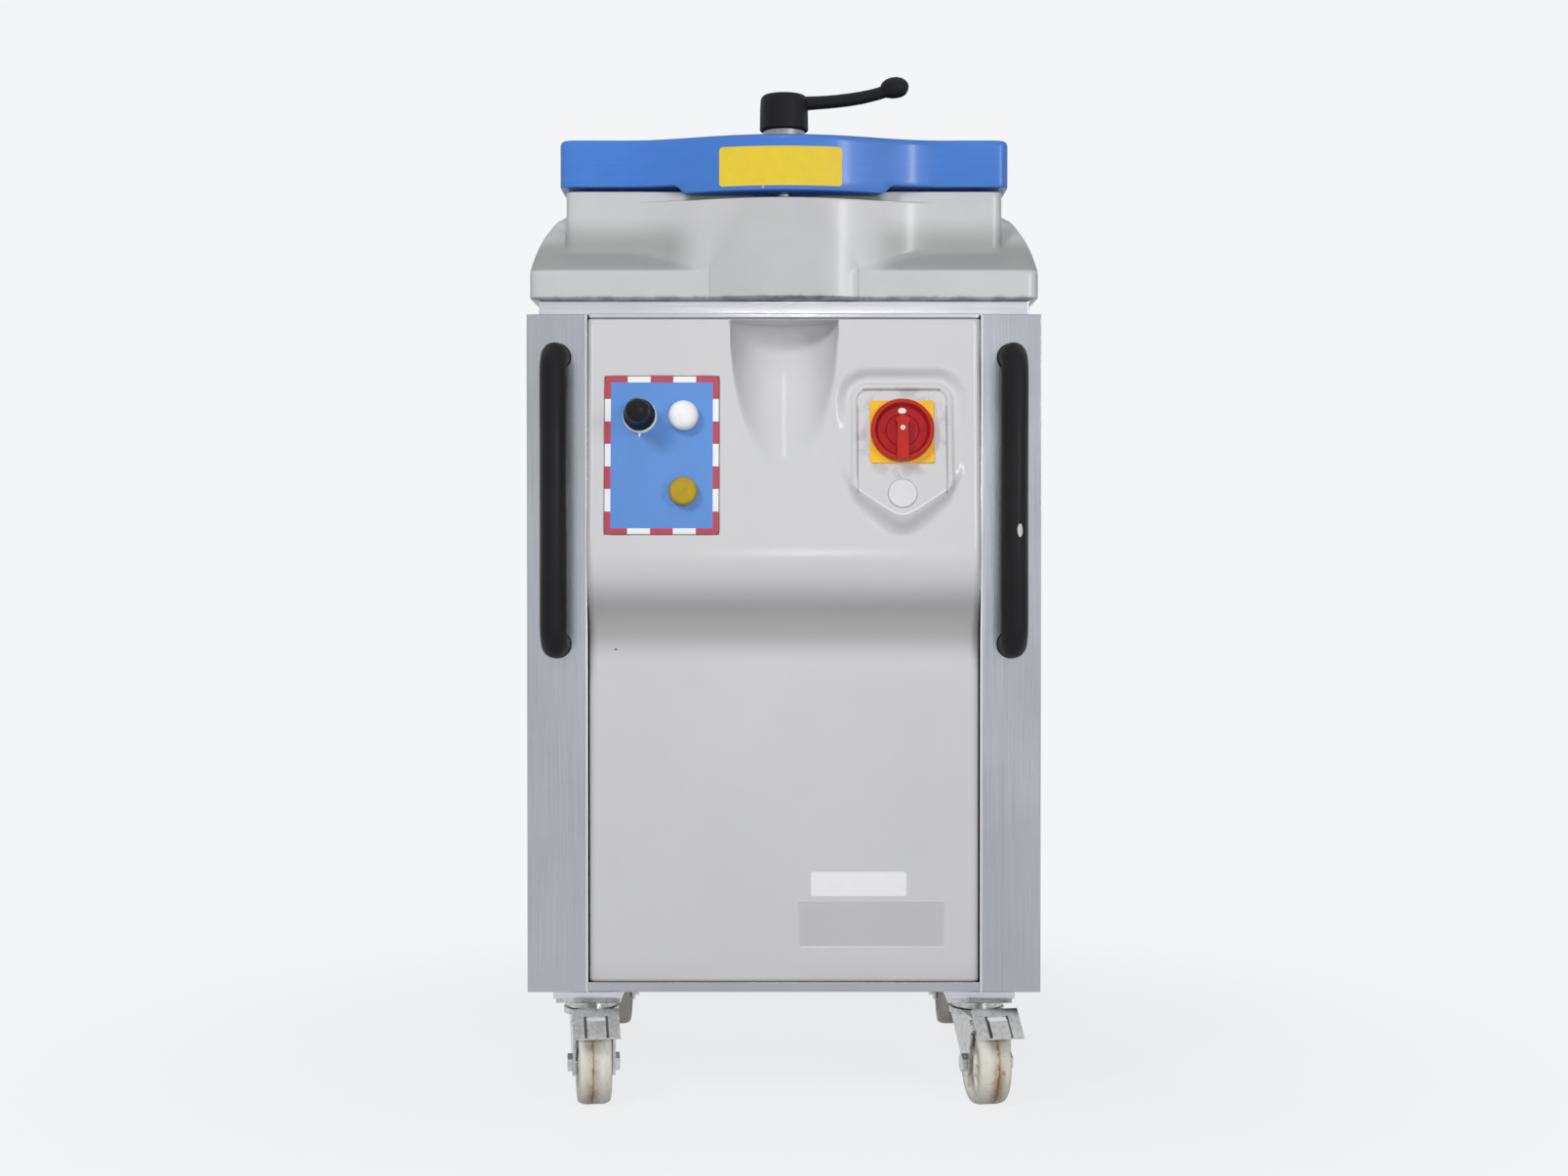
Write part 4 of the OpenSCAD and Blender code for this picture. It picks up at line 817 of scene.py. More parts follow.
# Each finish: the function that makes it and what that is told besides the name
MAKERS = {
    "post_steel": (brushed_steel, "steel", (1000.0, 1000.0, 7.0), 0.2090),
    "rail_steel": (brushed_steel, "steel", (7.0, 1000.0, 1000.0)),
    "deck_steel": (brushed_steel, "deck", (7.0, 1000.0, 1000.0)),
    "moulded_grey": (moulded_grey,),
    "painted_casting": (painted_casting,),
    "blue_paint": (blue_paint,),
    "black_coat": (black_coat,),
    "black_plastic": (black_plastic,),
    "printed_plate": (printed_plate,),
    "white_plastic": (plain_plastic, "paper", 0.34, 0.05),
    "white_label": (plain_plastic, "paper", 0.50, 0.012, 0.012),
    "yellow_label": (plain_plastic, "label", 0.42, 0.05, 0.025),
    "cream_plastic": (plain_plastic, "nylon", 0.34, 0.15),
    "red_plastic": (plain_plastic, "red", 0.30, 0.10, 0.05, (0.08, 0.02, 0.015)),
    "deep_red": (plain_plastic, "deep_red", 0.24, 0.10, 0.05, (0.06, 0.01, 0.01)),
    "plug_grey": (plain_plastic, "plug", 0.40, 0.04, 0.02),
    "yellow_plastic": (plain_plastic, "yellow", 0.40, 0.10),
    "ochre_rubber": (plain_plastic, "ochre", 0.40, 0.16, 0.05, (0.20, 0.12, 0.01)),
    "bright_steel": (tooled_steel, (120.0, 120.0, 1600.0), 2.0, 30.0,
                     ((0.55, 0.56, 0.57), (0.74, 0.75, 0.76)), 1.0, 0.20, (0.00003, 0.25)),
    "milled_steel": (tooled_steel, (60.0, 900.0, 60.0), 3.0, 16.0,
                     ((0.28, 0.285, 0.29), (0.40, 0.405, 0.41)), 0.9, 0.38, (0.00006, 0.3)),
    "worn_zinc": (worn_zinc,),
    "hammered_paint": (hammered_paint,),
}
FINISHES = {}


def finish(name):
    """A finish, made the first time it is asked for."""
    if name not in FINISHES:
        maker, *values = MAKERS[name]
        FINISHES[name] = maker(name, *values)
    return FINISHES[name]


def dress(name, *nodes):
    """Puts a finish on solids of the frame."""
    for node in nodes:
        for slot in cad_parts[node].material_slots:
            slot.material = finish(name)


def copied(node, name, edge, material, body, slot, sharp):
    """A piece in place of one solid: its copy, with edges softened by a width in millimetres."""
    work = Work()
    work.copy_of(node, edge * MM)
    work.piece(name, material, body, slot, (node,), sharp, True)


def spun(profile, place, steps, *told):
    """A piece of one turned form; the rest is what Work.piece is told."""
    work = Work()
    work.turned(profile, place, steps)
    work.piece(*told)


# Operators
class BuildStage(bpy.types.Operator):
    """Sets the floor, the soft lights and the camera"""
    bl_idname = "divider.stage"
    bl_label = "Stage"

    @staticmethod
    def seen(shader):
        """1 for rays that show the background itself."""
        path = shader.node("ShaderNodeLightPath")
        kinds = ("Camera", "Glossy", "Transmission")
        camera, glossy, through = (path.out(f"Is {kind} Ray") for kind in kinds)
        return (camera + glossy + through).low(1.0)

    @staticmethod
    def light(name, place, size, power, mirrored):
        """A soft box aimed at the machine."""
        aim = (0.0, -0.30, 0.62)
        lamp = bpy.data.lights.new(name, "AREA")
        lamp.shape, lamp.size, lamp.size_y, lamp.energy = "RECTANGLE", size[0], size[1], power
        obj = bpy.data.objects.new(name, lamp)
        place = Vector(place)
        obj.matrix_world = Matrix.Translation(place) @ turn_to(place - Vector(aim))
        obj.visible_glossy = mirrored
        bpy.context.scene.collection.objects.link(obj)

    def execute(self, context):
        scene, setting = context.scene, context.scene.divider_stage
        scene.view_settings.view_transform = "Standard"
        pale = (*setting.pale, 1.0)

        sky = Shader("studio", bpy.data.worlds.new("studio"))
        room = sky.node("ShaderNodeBackground", None, {0: (0.96, 0.98, 1.0, 1.0), 1: setting.ambient}).out()
        backdrop = sky.node("ShaderNodeBackground", None, {0: pale, 1: 1.0}).out()
        sky.end(sky.node("ShaderNodeMixShader", None, {0: self.seen(sky), 1: room, 2: backdrop}).out())
        scene.world = sky.owner

        ground = Shader("pale_floor")
        x, y, _ = ground.axes()
        far = ground.step((x * x + y * y) ** 0.5, 0.35, 1.1)
        thrown = (*(c * setting.bounce for c in setting.pale), 1.0)
        dull = ground.node("ShaderNodeBsdfDiffuse", None, {0: thrown}).out()
        matt = ground.node("ShaderNodeBsdfDiffuse", None, {0: pale}).out()
        glow = ground.node("ShaderNodeEmission", None, {0: pale, 1: 1.0}).out()
        shown = ground.node("ShaderNodeMixShader", None, {0: 0.86 + far * 0.14, 1: matt, 2: glow}).out()
        ground.end(ground.node("ShaderNodeMixShader", None, {0: self.seen(ground), 1: dull, 2: shown}).out())
        floor = bmesh.new()
        bmesh.ops.create_circle(floor, cap_ends=True, radius=9.0, segments=96)
        mesh = bpy.data.meshes.new("floor")
        floor.to_mesh(mesh)
        floor.free()
        mesh.materials.append(ground.owner)
        plane = bpy.data.objects.new("floor", mesh)
        scene.collection.objects.link(plane)

        for name, place, size, mirrored in LIGHTS:
            self.light(f"{name}_box", place, size, getattr(setting, name), mirrored)

        lens = bpy.data.cameras.new("camera")
        lens.sensor_fit, lens.sensor_width, lens.lens = "HORIZONTAL", 36.0, setting.lens
        lens.clip_start, lens.clip_end = 0.05, 60.0
        camera = bpy.data.objects.new("camera", lens)
        camera.location = setting.eye
        camera.rotation_euler = (math.pi / 2 - setting.pitch, 0.0, 0.0)
        scene.collection.objects.link(camera)
        scene.camera = camera
        return {"FINISHED"}


class BuildStand(bpy.types.Operator):
    """Posts, rail, covers, caster pads and top deck in brushed sheet"""
    bl_idname = "divider.stand"
    bl_label = "Stand"

    def execute(self, context):
        steel = finish("post_steel")
        for node in ("left_front_post", "right_front_post", "left_side_panel", "right_side_panel",
                     "rear_panel"):
            copied(node, f"{node}_sheet", 1.0, steel, "base", "brushed_steel", 30)
        plates = {"front_bottom_rail": (0.8, "rail_steel"), "top_deck": (1.5, "deck_steel"),
                  "caster_pads": (1.2, "deck_steel"), "dough_pan": (0.8, "rail_steel")}
        for node, (edge, sheet) in plates.items():
            copied(node, f"{node}_plate", edge, finish(sheet), "base", "brushed_steel", 30)

        # The deck's lip, over the top edge of the front panel
        lip = Work()
        lip.box((-0.2070, -0.2995, 0.8444), (0.2070, -0.2720, 0.8502), 0.0024, 4)
        lip.piece("deck_lip", finish("deck_steel"), "base", "brushed_steel", (), 40)
        dress("milled_steel", "base_tray")
        dress("black_plastic", "cable_gland")
        return {"FINISHED"}


class BuildHandles(bpy.types.Operator):
    """Two bent tubes on the posts"""
    bl_idname = "divider.handles"
    bl_label = "Handles"

    def execute(self, context):
        sizes = context.scene.divider_handles
        work = Work()
        half, r = sizes.span / 2, sizes.diameter / 2
        ring = fillet([(0, 0), (r + 0.0012, 0), (r + 0.0012, 0.0025), (r - 0.0005, 0.0025)], 0.0006)
        quarter = [math.pi / 2 * i / 10 for i in range(11)]
        for x in (-sizes.x, sizes.x):
            path = []
            for side in (1, -1):
                run = [Vector((x, sizes.root_y, sizes.z + side * half))]
                run += [Vector((x, sizes.tube_y + sizes.bend * (1 - math.sin(t)),
                                sizes.z + side * (half - sizes.bend * (1 - math.cos(t))))) for t in quarter]
                path += run[::side]
            work.tube(path, r, 28)
            for foot in (path[0], path[-1]):
                work.turned(ring, Matrix.Translation(foot) @ turn_to(-Y_AXIS))
        work.piece("handle_tubes", finish("black_coat"), "base", "black_tube", ("handles",), 50)
        return {"FINISHED"}


class BuildCasters(bpy.types.Operator):
    """Head plates, forks, stained wheels and brake pedals"""
    bl_idname = "divider.casters"
    bl_label = "Casters"

    @staticmethod
    def wheel(sizes, place):
        """A moulded wheel with six ribs at each side, about its axle."""
        r, half = sizes.wheel_d / 2, sizes.wheel_w / 2
        side = [(0.0062, half), (0.0150, half), (0.0170, half - 0.0045), (0.0335, half - 0.0055),
                (0.0360, half - 0.0005), (0.0395, half), (r - 0.0022, half - 0.0015), (r, half - 0.0070)]
        section = [(a, -b) for a, b in side] + [(r, 0.0)] + side[::-1]
        work = Work()
        work.turned(fillet(section, 0.0028, 4) + [section[0]], place, 72)
        for turn in range(6):
            rib = place @ Matrix.Rotation(TURN * turn / 6, 4, "Z")
            for face in (1, -1):
                low, high = sorted((face * (half - 0.0062), face * (half - 0.0022)))
                work.box((0.0165, -0.0014, low), (0.0352, 0.0014, high), 0.0006, 1, rib)
        return work

    def execute(self, context):
        sizes = context.scene.divider_casters
        zinc = finish("worn_zinc")
        copied("caster_plates", "caster_heads", 0.8, zinc, "base", "zinc", 32)
        corners = {"front_left": (-1, -1, sizes.left_yaw), "front_right": (1, -1, sizes.right_yaw),
                   "rear_left": (-1, 1, 0.0), "rear_right": (1, 1, 0.0)}
        swivels = {name: (across * sizes.span_x / 2, along * sizes.span_y / 2)
                   for name, (across, along, _) in corners.items()}
        for name, (across, _, yaw) in corners.items():
            fork, wheel = f"{name}_fork", f"{name}_wheel"
            copied(fork, f"{name}_yoke", 0.5, zinc, fork, "zinc", 32)
            place = (Matrix.Translation((*swivels[name], 0)) @ Matrix.Rotation(yaw, 4, "Z")
                     @ Matrix.Translation((0, -sizes.trail, sizes.wheel_d / 2)) @ turn_to(X_AXIS))
            nylon = stained_nylon(f"{name}_nylon", place @ Vector((0, 0, 0.003 * across)), yaw)
            self.wheel(sizes, place).piece(f"{name}_roller", nylon, wheel, "nylon", (wheel,), 50)
        for side in ("left", "right"):
            name, pedal = f"front_{side}", f"{side}_brake_pedal"
            treaded = worn_zinc(f"{side}_pedal_zinc", swivels[name], corners[name][2])
            copied(pedal, f"{side}_pedal", 0.8, treaded, pedal, "zinc", 32)
        return {"FINISHED"}


class BuildMechanism(bpy.types.Operator):
    """Finishes of the press, the knives, the cylinders and the power pack"""
    bl_idname = "divider.mechanism"
    bl_label = "Mechanism"

    def execute(self, context):
        dress("bright_steel", "hinge_pins", "keeper_plate", "lock_shaft", "press_rod", "knife_rods",
              "guide_columns", "press_pillars", "knife_posts", "knife_blades")
        dress("milled_steel", "lock_collar", "press_table", "knife_carrier", "crosshead", "bridge_plate",
              "gear_pump", "valve_block")
        dress("hammered_paint", "press_cylinder", "knife_cylinders", "oil_tank", "pump_motor")
        dress("white_plastic", "press_pads", "lid_plate")
        dress("painted_casting", "electrical_box")
        dress("black_plastic", "contact_blocks", "switch_body")
        return {"FINISHED"}


def spread(start, *runs):
    """Positions from start through runs of (end, step), in millimetres, as metres."""
    places = [start]
    for end, step in runs:
        count = max(1, round((end - places[-1]) / step))
        places += [places[-1] + (end - places[-1]) * (i + 1) / count for i in range(count)]
    return [p * MM for p in places]


def to_outline(point, outline):
    """Signed distance from a point to a closed outline, negative inside."""
    inside, nearest = False, 1e9
    px, py = point
    for (ax, ay), (bx, by) in zip(outline, outline[1:] + outline[:1]):
        ex, ey, wx, wy = bx - ax, by - ay, px - ax, py - ay
        t = min(1.0, max(0.0, (wx * ex + wy * ey) / (ex * ex + ey * ey)))
        nearest = min(nearest, math.hypot(wx - ex * t, wy - ey * t))
        if (ay > py) != (by > py) and px < ax + ex * (py - ay) / ey:
            inside = not inside
    return -nearest if inside else nearest


class BuildFrontPanel(bpy.types.Operator):
    """Moulded front panel with its scoop, podium, S-curve and recesses"""
    bl_idname = "divider.front_panel"
    bl_label = "Front Panel"

    half_w, low, high, back = 0.208, 0.138, 0.844, -0.262
    ceiling = 0.8416
    low_edge, high_edge = 0.005, 0.004

    def profile(self, z):
        """Y of the plain face at a height."""
        sizes = self.sizes
        upper = sizes.top_y - (self.high - max(z, sizes.curve_high)) * math.tan(sizes.lean)
        t = min(1.0, max(0.0, (z - sizes.curve_low) / (sizes.curve_high - sizes.curve_low)))
        return sizes.low_y + (upper - sizes.low_y) * t ** 3 * (10 - 15 * t + 6 * t * t)

    def face(self, z):
        """Y of the face, with the ends of the S-curve smoothed."""
        near = (-0.010, -0.005, 0.0, 0.005, 0.010)
        if z > self.high - near[-1] or z < self.low + near[-1]:
            return self.profile(z)
        return sum(self.profile(z + d) for d in near) / len(near)

    def scoop(self, x, z):
        """Y of the scoop's hollow, or nothing beside it."""
        sizes = self.sizes
        tilt = sizes.lean + sizes.scoop_tilt
        if abs(x) >= sizes.scoop_r:
            return None
        bow = math.sqrt(sizes.scoop_r ** 2 - x * x)
        return sizes.top_y + (bow + (z - self.high) * math.sin(tilt)) / math.cos(tilt)

    def podium(self, x, z):
        """How far the podium and its valley move the face towards the rear."""
        sizes = self.sizes
        lean = sizes.lean + sizes.podium_tilt
        v = (z - sizes.podium_z) / math.cos(lean)
        u = x - sizes.podium_x
        far_u, far_v = 0.090, 0.110
        if abs(u) > far_u or abs(v) >= far_v:
            return 0.0
        gap = to_outline((u, v), self.outline)
        soft, side_valley = 0.012, 0.010
        lower = ease(soft, -sizes.podium_side, v)
        tip = ease(-sizes.podium_side + soft, -sizes.podium_down, v)
        width = sizes.valley * (1 - lower) + (side_valley * (1 - tip) + sizes.valley_tip * tip) * lower
        rimmed = ease(-sizes.podium_side - 0.006, -sizes.podium_side + 0.022, v)
        share = 1 - ease(0.0, width, gap - sizes.rim_w * rimmed)
        ridge = ease(-0.0006, 0.0026, gap) * (1 - ease(sizes.rim_w * 0.45, sizes.rim_w, gap)) * rimmed
        sunk = (z - sizes.podium_z) * (math.tan(lean) - math.tan(sizes.lean))
        return sunk * share - ridge * sizes.rim_h

    def depth(self, x, z):
        """Y of the finished face."""
        sizes = self.sizes
        y = self.face(z) + self.podium(x, z)
        hollow = self.scoop(x, z)
        if hollow is not None and hollow > y - sizes.lip:
            y += (soft_max(y, hollow, sizes.lip) - y) * (1 - ease(self.ceiling, self.ceiling + 0.0012, z))
        plate = to_outline((x - sizes.plate_x, (z - sizes.plate_z) / math.cos(sizes.lean)), self.recess)
        y += sizes.plate_sink * (1 - ease(-0.0006, 0.0010, plate))
        shallow = to_outline((x - sizes.shallow_x, z - sizes.shallow_z), self.shallow)
        y += sizes.shallow_sink * (1 - ease(-0.0004, 0.0008, shallow))
        for room, radius in ((self.half_w - abs(x), sizes.edge), (self.high - z, self.high_edge),
                             (z - self.low, self.low_edge)):
            if room < radius:
                y += radius - math.sqrt(max(0.0, radius ** 2 - (radius - room) ** 2))
        return y

    def execute(self, context):
        self.sizes = sizes = context.scene.divider_panel
        half = sizes.podium_half
        shield = [(-half, sizes.podium_up), (-half, -sizes.podium_side), (0.0, -sizes.podium_down),
                  (half, -sizes.podium_side), (half, sizes.podium_up)]
        self.outline = rounded(shield, sizes.podium_round, 5)
        self.recess = rounded(rectangle(sizes.plate_w + 2 * MM, sizes.plate_h + 2 * MM), 0.006, 4)
        self.shallow = rounded(rectangle(sizes.shallow_w, sizes.shallow_h), 0.002, 2)

        # The grid is close where the face bends or steps
        columns = spread(-208, (-197, 0.9), (-192, 2.5), (-187.5, 0.45), (-70, 4), (-65.5, 0.45), (14.5, 1.7),
                         (17.5, 0.4), (58, 1.7), (169.5, 1.45), (172.5, 0.4), (197, 1.6), (208, 0.9))
        rows = spread(138, (144, 0.8), (174, 10), (178, 0.4), (221, 14), (225, 0.4), (480, 16), (600, 2.4),
                      (612, 2), (617, 0.45), (780.5, 1.5), (785.5, 0.45), (837, 2), (844, 0.4))
        work = Work()
        work.sheet(columns, rows, lambda x, z: Vector((x, self.depth(x, z), z)))
        rim = [e for e in work.bm.edges if e.is_boundary]
        grown = bmesh.ops.extrude_edge_only(work.bm, edges=rim)["geom"]
        for vert in (g for g in grown if isinstance(g, bmesh.types.BMVert)):
            vert.co.y = max(self.back, vert.co.y + 0.004)
        work.piece("front_moulding", finish("moulded_grey"), "base", "grey_panel", ("front_panel",), 60)
        return {"FINISHED"}


def reach(turn, half_x, front, rear, power):
    """Distance from the pan's centre to a rectangle with soft corners."""
    ends = front if math.sin(turn) < 0 else rear
    return ((abs(math.cos(turn)) / half_x) ** power + (abs(math.sin(turn)) / ends) ** power) ** (-1 / power)


def ray(outline, turn):
    """Distance from the middle to an outline."""
    dx, dy = math.cos(turn), math.sin(turn)
    far = 0.0
    for (ax, ay), (bx, by) in zip(outline, outline[1:] + outline[:1]):
        ex, ey = bx - ax, by - ay
        cross = dx * ey - dy * ex
        if abs(cross) > 1e-12:
            t, s = (ax * ey - ay * ex) / cross, (ax * dy - ay * dx) / cross
            if t > 0 and -1e-6 <= s <= 1 + 1e-6:
                far = max(far, t)
    return far


def eyelet(work, x0, x1, middle, hole, outline, edge=0.0012):
    """A plate across X with a hole at its middle; the outline is in Y and Z."""
    rows = [(False, 0), (True, 0), (True, 1), (True, 2), (True, 3), (False, 3), (False, 0)]
    places = [x0, x0 + edge, x1 - edge, x1]

    def where(turn, row):
        outer, step = row
        far = ray(outline, turn)
        r = (far - edge if step in (0, 3) else far) if outer else hole
        return Vector((places[step], middle[0] + r * math.cos(turn), middle[1] + r * math.sin(turn)))

    work.sheet(round_turn(96), rows, where, ring=True)


def arch(start, end, radius=0.018, steps=16):
    """Points of the round end of a hinge ear, between two angles."""
    turns = [start + (end - start) * i / steps for i in range(steps + 1)]
    return [(radius * math.cos(t), radius * math.sin(t)) for t in turns]


class Casting:
    """Plan of the block with its round bulge, about the middle of the pan."""

    block_power, hole_power, hole_half = 50, 80, 0.2065

    def __init__(self, sizes, grown):
        self.sizes, self.grown = sizes, grown
        self.turns = round_turn(sizes.points)

    def block(self, turn):
        """Reach of the straight-sided block."""
        sizes, g = self.sizes, self.grown
        return reach(turn, sizes.block_x + g, sizes.block_y + g, sizes.block_y + g, self.block_power)

    def bulge(self, turn):
        """Reach of the round bulge."""
        offset = self.sizes.bulge_y - self.sizes.pan_y
        ahead = offset * math.sin(turn)
        r = self.sizes.bulge_r + self.grown
        return ahead + math.sqrt(ahead ** 2 - offset ** 2 + r ** 2)

    def wall(self, turn):
        """Reach of the block and the bulge, softly joined."""
        return soft_max(self.block(turn), self.bulge(turn), self.sizes.bulge_soft)

    def hole(self, turn):
        """Reach of the square opening round the pan."""
        return reach(turn, self.hole_half, self.hole_half, self.hole_half, self.hole_power)

    def point(self, turn, r, z):
        """A point at a reach and a height."""
        return Vector((r * math.cos(turn), self.sizes.pan_y + r * math.sin(turn), z))


class BuildHousing(bpy.types.Operator):
    """Cast housing with its foot, cheeks, brow and bulge, and the ears of the hinge"""
    bl_idname = "divider.housing"
    bl_label = "Housing"

    foot_z, top_z = 0.866, 0.984
    brow_start, rear_lean = 0.046, 0.025
    ear_out, ear_half = 0.0275, 0.007

    def foot(self, turn, z):
        """Reach of the foot, its cheeks and its brow at a height."""
        sizes = self.sizes
        total = 0.0
        near = (-0.003, -0.0015, 0.0, 0.0015, 0.003)
        for d in near:
            up = min(max((z + d - self.foot_z - sizes.foot_band) / sizes.cheek_h, 0.0), 1.0)
            t = 1 - math.sqrt(1 - up)
            half_x = (sizes.foot_x * (1 - t) ** 2 + (sizes.foot_x - sizes.cheek_lean) * 2 * t * (1 - t)
                      + sizes.block_x * t * t)
            # The brow rises by (10 s + s * s) / 11 of its height, so s follows from the height
            s = math.sqrt(25 + 11 * min(1.0, up * sizes.cheek_h / sizes.brow_h)) - 5
            front = sizes.foot_y - (self.brow_start * s + (sizes.brow_run - self.brow_start) * s * s)
            rear = sizes.foot_y - self.rear_lean * up
            total += reach(turn, half_x, front, rear, Casting.block_power)
        shrink = max(0.0, z - self.foot_z - sizes.foot_band - sizes.cheek_h) * 3
        return total / len(near) - shrink

    def execute(self, context):
        self.sizes = sizes = context.scene.divider_castings
        plan = Casting(sizes, 0.0)
        ledge = self.top_z - sizes.bulge_drop
        cheek = self.foot_z + sizes.foot_band + sizes.cheek_h

        # Kind, height and inset of each row: up the outer wall, over the top and down the opening
        heights = [0.8685, 0.8710, 0.8740, 0.8800, 0.8870] + [0.8900 + 0.0015 * i for i in range(9)]
        heights += [0.9040 + 0.0035 * i for i in range(15)]
        heights += [cheek - d for d in (0.009, 0.0065, 0.0045, 0.003, 0.002, 0.0012, 0.0006, 0.0002)]
        heights += [cheek + d for d in (0.0006, 0.0015, 0.003)] + [ledge - 0.0035, ledge - 0.0020]
        rows = [("wall", self.foot_z, 0.004), ("wall", self.foot_z + 0.0010, 0.0020)]
        rows += [("wall", z, 0.0) for z in heights]
        rows += [("wall", ledge - 0.0009, 0.0004), ("wall", ledge - 0.0002, 0.0012), ("wall", ledge, 0.0020)]
        rows += [("block", ledge, 0.0), ("block", ledge + 0.004, 0.0), ("block", self.top_z - 0.0015, 0.0),
                 ("block", self.top_z - 0.0004, 0.0004), ("block", self.top_z, 0.0015)]
        rows += [("hole", self.top_z, -0.001), ("hole", self.top_z - 0.001, 0.0), ("hole", self.foot_z, 0.0),
                 rows[0]]

        def where(turn, row):
            kind, z, inset = row
            if kind == "hole":
                return plan.point(turn, plan.hole(turn) - inset, z)
            if kind == "block":
                return plan.point(turn, plan.block(turn) - inset, z)
            r = soft_max(self.foot(turn, z), plan.wall(turn), sizes.foot_soft) - inset
            return plan.point(turn, max(r, plan.block(turn)) if z >= ledge - 0.001 else r, z)

        work = Work()
        work.sheet(plan.turns, rows, where, ring=True)
        seat = Work()
        seat.box((-0.034, -0.298, 0.965), (0.034, -0.242, 0.990))
        seat.rod(0.024, 0.949, 0.970, LOCK_AXIS)
        work.minus(seat)
        ear = arch(0, math.pi) + [(-0.018, -0.076), (0.018, -0.053)]
        for middle in HINGE_X:
            for x in (middle - self.ear_out, middle + self.ear_out):
                x0, x1 = x - self.ear_half, x + self.ear_half
                eyelet(work, x0, x1, HINGE_YZ, PIN_HOLE_R, ear)
                work.box((x0, 0.220, 0.936), (x1, 0.236, 0.982), 0.001)
        work.piece("housing_casting", finish("painted_casting"), "base", "grey_casting", ("housing",), 42)
        return {"FINISHED"}


class BuildLid(bpy.types.Operator):
    """Cast lid with its dropped lip, its underside and its hinge knuckles"""
    bl_idname = "divider.lid"
    bl_label = "Lid"

    low, ceiling, top = 0.988, 1.010, 1.0385
    thick, lip_y, knuckle_half = 0.004, 0.247, 0.020

    def execute(self, context):
        sizes = context.scene.divider_castings
        plan = Casting(sizes, sizes.lid_over)

        def lip(turn):
            if math.sin(turn) > -0.5:
                return self.low
            x = abs(plan.wall(turn) * math.cos(turn))
            return self.low - sizes.drop * (1 - ease(sizes.drop_half, sizes.drop_half + sizes.drop_slope, x))

        def inner(turn):
            r = plan.wall(turn) - self.thick
            return min(r, self.lip_y / abs(math.sin(turn))) if lip(turn) < self.low - 1e-6 else r

        # Kind, height and inset of each row: out along the underside, up the wall and back to the middle
        edge = sizes.lid_edge
        rows = [("centre", self.ceiling, 0), ("hole", self.ceiling, 0), ("hole", self.low, 0),
                ("inner", self.low, 0), ("inner", None, 0),
                ("lip", 0.0, 0.0012), ("lip", 0.0004, 0.0004), ("lip", 0.0012, 0.0),
                ("wall", self.low + 0.006, 0.0), ("wall", self.top - edge - 0.008, 0.0),
                ("wall", self.top - edge - 0.001, 0.0)]
        for i in range(9):
            a = math.pi / 2 * i / 8
            rows.append(("wall", self.top - edge * (1 - math.sin(a)), edge * (1 - math.cos(a))))
        rows += [("wall", self.top, edge + 0.002), ("wall", self.top, 0.060), ("centre", self.top, 0)]

        def where(turn, row):
            kind, z, inset = row
            if kind == "centre":
                return Vector((0.0, sizes.pan_y, z))
            if kind == "hole":
                return plan.point(turn, plan.hole(turn), z)
            if kind == "inner":
                return plan.point(turn, inner(turn), lip(turn) if z is None else z)
            if kind == "lip":
                z += lip(turn)
            return plan.point(turn, plan.wall(turn) - inset, z)

        work = Work()
        work.sheet(plan.turns, rows, where, ring=True)
        bore = Work()
        bore.rod(SHAFT_HOLE_R, 0.95, 1.06, LOCK_AXIS, 40)
        work.minus(bore)
        knuckle = arch(math.pi / 2, -math.pi / 2) + [(-0.025, -0.018), (-0.025, 0.018)]
        for x in HINGE_X:
            eyelet(work, x - self.knuckle_half, x + self.knuckle_half, HINGE_YZ, PIN_HOLE_R, knuckle)
        work.piece("lid_shell", finish("blue_paint"), "lid", "blue_casting", ("lid_casting",), 42)
        return {"FINISHED"}


def on_face(x, z, tilt=0.0):
    """A frame on the panel's upper face: X to the right, Y up the face, Z outwards."""
    sizes = bpy.context.scene.divider_panel
    lean = sizes.lean + tilt
    y = sizes.top_y - (BuildFrontPanel.high - z) * math.tan(sizes.lean)
    return Matrix(((1, 0, 0, x), (0, math.sin(lean), -math.cos(lean), y),
                   (0, math.cos(lean), math.sin(lean), z), (0, 0, 0, 1)))


def ball(radius, middle, start, end, steps=12):
    """Points of a circle's arc for a turned profile, from one angle above the waist to another."""
    angles = [math.radians(start + (end - start) * i / steps) for i in range(steps + 1)]
    return [(max(0.0, radius * math.cos(a)), middle + radius * math.sin(a)) for a in angles]


